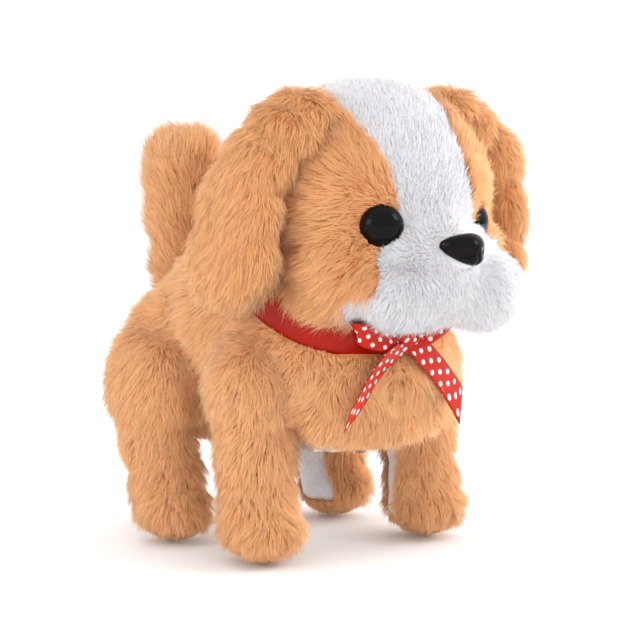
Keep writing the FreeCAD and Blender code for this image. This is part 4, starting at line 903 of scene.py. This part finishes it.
bow_knot = bow_strip(
    "bow_knot",
    [(-3.5, 1.0, -3.5), (-3.0, -2.2, 0.0), (-0.5, -3.4, 2.6), (2.8, -2.2, 3.4), (3.6, 1.4, 2.0)],
    [(0.6, 0, -0.8)] * 5,
    [0, 0.5, 1], [5.0, 7.0, 5.0], 14)
bow_strip(
    "bow_loop_right",
    [(-1, 0, 0.5), (-9, -2.5, 1.2), (-16.5, -1, 3.0), (-20.5, 2, 4.8), (-18.5, 5, 5), (-12, 4, 3.6), (-2, 1.5, 1.5)],
    [(0, 0.15, 1), (-0.25, 0.15, 1), (-0.5, 0.15, 0.9), (-0.6, 0.15, 0.8), (-0.5, 0.15, 0.9), (-0.2, 0.15, 1),
     (0, 0.15, 1)],
    [0, 0.15, 0.5, 0.85, 1], [4.5, 7.5, 9, 8.0, 4.5], 54)
bow_strip(
    "bow_loop_left",
    [(1, 0, 0.5), (9, -2.5, 3.5), (19, -1, 8), (25, 2, 10.5), (22, 5, 10.5), (12, 4, 6.5), (2, 1.5, 2)],
    [(-0.1, 0.15, 1)] * 7,
    [0, 0.15, 0.5, 0.85, 1], [4.5, 8.5, 10, 8.5, 4.5], 54)
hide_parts("bow")
bow_tail = bow_strip(
    "bow_tail_left",
    [(1, -0.8, -1.2), (7, -0.8, -3.6), (15, -0.4, -10.5), (22.5, 0.4, -18.3), (28.0, 1.0, -25.0)],
    [(0.55, 0.1, 0.6)] * 5,
    [0, 0.25, 1], [4.5, 9.5, 10], 33, slant=-0.9)
bow_strip(
    "bow_tail_right",
    [(-1, -1.2, -1.5), (-9.5, -1.8, -4.8), (-15.0, 0.2, -12.0), (-19.2, 1.2, -18.6), (-24.5, 2.4, -25.5)],
    [(0.8, 0.3, -0.45), (0.82, 0.42, -0.37), (0.82, 0.46, -0.35), (0.82, 0.46, -0.35), (0.82, 0.46, -0.35)],
    [0, 0.2, 0.75, 1], [4.5, 8.5, 9.0, 6.0], 38, slant=1.2)
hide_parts("bow_tails")

# ---- eyes and nose ----

GLOSS = speckled("black_gloss", (0.002, 0.002, 0.002), (0.005, 0.004, 0.004), 60, 0.12)
GLOSS.node_tree.nodes["Principled BSDF"].inputs["Specular IOR Level"].default_value = 0.11
EYE_RADIUS = 7.6


def button(form, name, node):
    """A finished glossy piece of the face, which stands for one CAD node."""
    mesh = bpy.data.meshes.new(name)
    form.to_mesh(mesh)
    form.free()
    for polygon in mesh.polygons:
        polygon.use_smooth = True
    piece = add_object(name, mesh, GLOSS)
    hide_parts(node)
    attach(piece, "head")


def eye_piece(name, shift):
    """A domed eye, a flattened ball that looks away from the head's centre."""
    centre = EYES[name] + shift
    outward = Vector(centre - HEAD).normalized()
    place = Matrix.Translation(Vector(centre * MM)) @ outward.to_track_quat("Z", "Y").to_matrix().to_4x4()
    flattened = place @ Matrix.Diagonal((1, 1, 0.82, 1))
    form = bmesh.new()
    bmesh.ops.create_icosphere(form, subdivisions=5, radius=EYE_RADIUS * MM, matrix=flattened)
    button(form, f"eye_{name}_dome", f"eye_{name}")


eye_piece("right", (0, 0, 0))
eye_piece("left", (-1.8, 1.6, -0.8))


def nose_piece():
    """A rounded triangle whose corners sweep back round the muzzle, with two nostril dents."""
    form = bmesh.new()
    bmesh.ops.create_icosphere(form, subdivisions=5, radius=1)
    centre = np.array([0.2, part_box("nose")[0].y / MM + 4.6, NOSE[2] + 0.9])
    for vertex in form.verts:
        x, y, z = vertex.co
        width = 8.8 * (1 + 0.24 * z)
        height = (5.6 - 0.5 * abs(x)) * (0.92 if z > 0 else 1.05)
        point = np.array([x * width, y * 5.0, z * height])
        point[1] += 0.05 * point[0] ** 2 + (2.4 * z if z < 0 else 0)
        for side in (-1, 1):
            gap = ((point[0] - side * 3.8) / 1.7) ** 2 + ((point[2] + 1.6) / 1.2) ** 2
            if y < 0:
                point[1] += 1.5 * math.exp(-gap)
        groove = math.exp(-(point[0] / 0.6) ** 2) * (1 if point[2] < -0.8 and y < 0 else 0)
        point[1] += 0.5 * groove
        grain = 0.13 * math.sin(point[0] * 4.1 + point[2]) * math.sin(point[2] * 4.7 - point[0] * 0.8)
        vertex.co = (centre + point * (1 + grain / 7)) * MM
    button(form, "nose_button", "nose")


nose_piece()

# ---- the moulded and metal parts keep their CAD shapes and get their finishes ----

FINISHES = {
    "black_gloss": GLOSS,
    "shell_plastic": speckled("moulded_shell", (0.66, 0.65, 0.61), (0.74, 0.73, 0.69), 2500, 0.5, bump=0.15),
    "gear_plastic": speckled("natural_nylon", (0.74, 0.73, 0.69), (0.82, 0.81, 0.77), 1200, 0.42, bump=0.08),
    "dark_plastic": speckled("dark_moulding", (0.012, 0.012, 0.013), (0.03, 0.03, 0.032), 2500, 0.5, bump=0.2),
    "steel": speckled("drawn_steel", (0.45, 0.46, 0.48), (0.62, 0.63, 0.65), 900, 0.3, metallic=1.0,
                      stretch=(0.1, 1, 1)),
    "contact_metal": speckled("nickel_plate", (0.60, 0.58, 0.54), (0.72, 0.70, 0.66), 900, 0.25, metallic=1.0),
    "cell_jacket": speckled("cell_jacket", (0.02, 0.05, 0.16), (0.04, 0.08, 0.22), 300, 0.3, metallic=0.4),
    "board": speckled("solder_mask", (0.01, 0.12, 0.04), (0.02, 0.18, 0.07), 500, 0.35, bump=0.1),
    "bronze": speckled("sintered_bronze", (0.42, 0.27, 0.10), (0.55, 0.38, 0.16), 2000, 0.45, bump=0.2,
                       metallic=1.0),
    "stuffing": speckled("fibre_fill", (0.75, 0.75, 0.74), (0.85, 0.85, 0.84), 400, 0.95, bump=0.5),
}
SLOTS = {entry["node"]: entry["material_slot"] for entry in frame["record"]["subparts"]}
for name, thing in frame["nodes"].items():
    finish = FINISHES.get(SLOTS[name])
    if finish is None or thing.hide_render:
        continue
    for material_slot in thing.material_slots:
        material_slot.material = finish
    if SLOTS[name] == "black_gloss":
        for polygon in thing.data.polygons:
            polygon.use_smooth = True

# ---- floor, light and camera ----

floor_mesh = bpy.data.meshes.new("floor")
plane = bmesh.new()
bmesh.ops.create_grid(plane, x_segments=1, y_segments=1, size=6.0)
plane.to_mesh(floor_mesh)
plane.free()
floor_material, _, floor_shader = new_material("pale_floor")
floor_shader.inputs["Base Color"].default_value = (0.97, 0.97, 0.97, 1)
floor_shader.inputs["Roughness"].default_value = 0.9
add_object("floor", floor_mesh, floor_material)

world = bpy.data.worlds.new("studio")
bpy.context.scene.world = world
world.use_nodes = True
world.node_tree.nodes["Background"].inputs["Color"].default_value = (1, 1, 1, 1)
world.node_tree.nodes["Background"].inputs["Strength"].default_value = 1.14


def area_light(name, place, target, size, power, glints=True):
    data = bpy.data.lights.new(name, "AREA")
    data.size = size
    data.energy = power
    lamp = bpy.data.objects.new(name, data)
    lamp.visible_glossy = glints
    lamp.location = place
    lamp.rotation_euler = (Vector(target) - Vector(place)).to_track_quat("-Z", "Y").to_euler()
    bpy.context.scene.collection.objects.link(lamp)


area_light("key", (-1.15, 0.2, 0.42), (0, 0, 0.08), 0.5, 3.0)
area_light("side", (0.68, -0.82, 0.76), (0, 0, 0.08), 0.5, 3.6)
area_light("fill", (1.1, -0.25, 0.3), (0, 0, 0.05), 0.6, 7.5, glints=False)
area_light("front", (-0.6, -1.0, 0.4), (0, 0, 0.06), 0.6, 1.6, glints=False)
area_light("rim", (0.3, 0.9, 0.6), (0, 0, 0.1), 0.6, 1.4, glints=False)

camera_data = bpy.data.cameras.new("camera")
camera_data.sensor_width = 36
camera_data.lens = 122.4
camera_data.shift_x = 0.01625
camera_data.clip_start = 0.01
camera = bpy.data.objects.new("camera", camera_data)
bpy.context.scene.collection.objects.link(camera)
AZIMUTH, PITCH, REACH = math.radians(39.9), math.radians(5.9), 0.8
camera.location = (-math.sin(AZIMUTH) * REACH, -math.cos(AZIMUTH) * REACH, 0.1655)
camera.rotation_euler = (math.pi / 2 - PITCH, 0, -AZIMUTH)
bpy.context.scene.camera = camera
bpy.context.scene.view_settings.view_transform = "Standard"
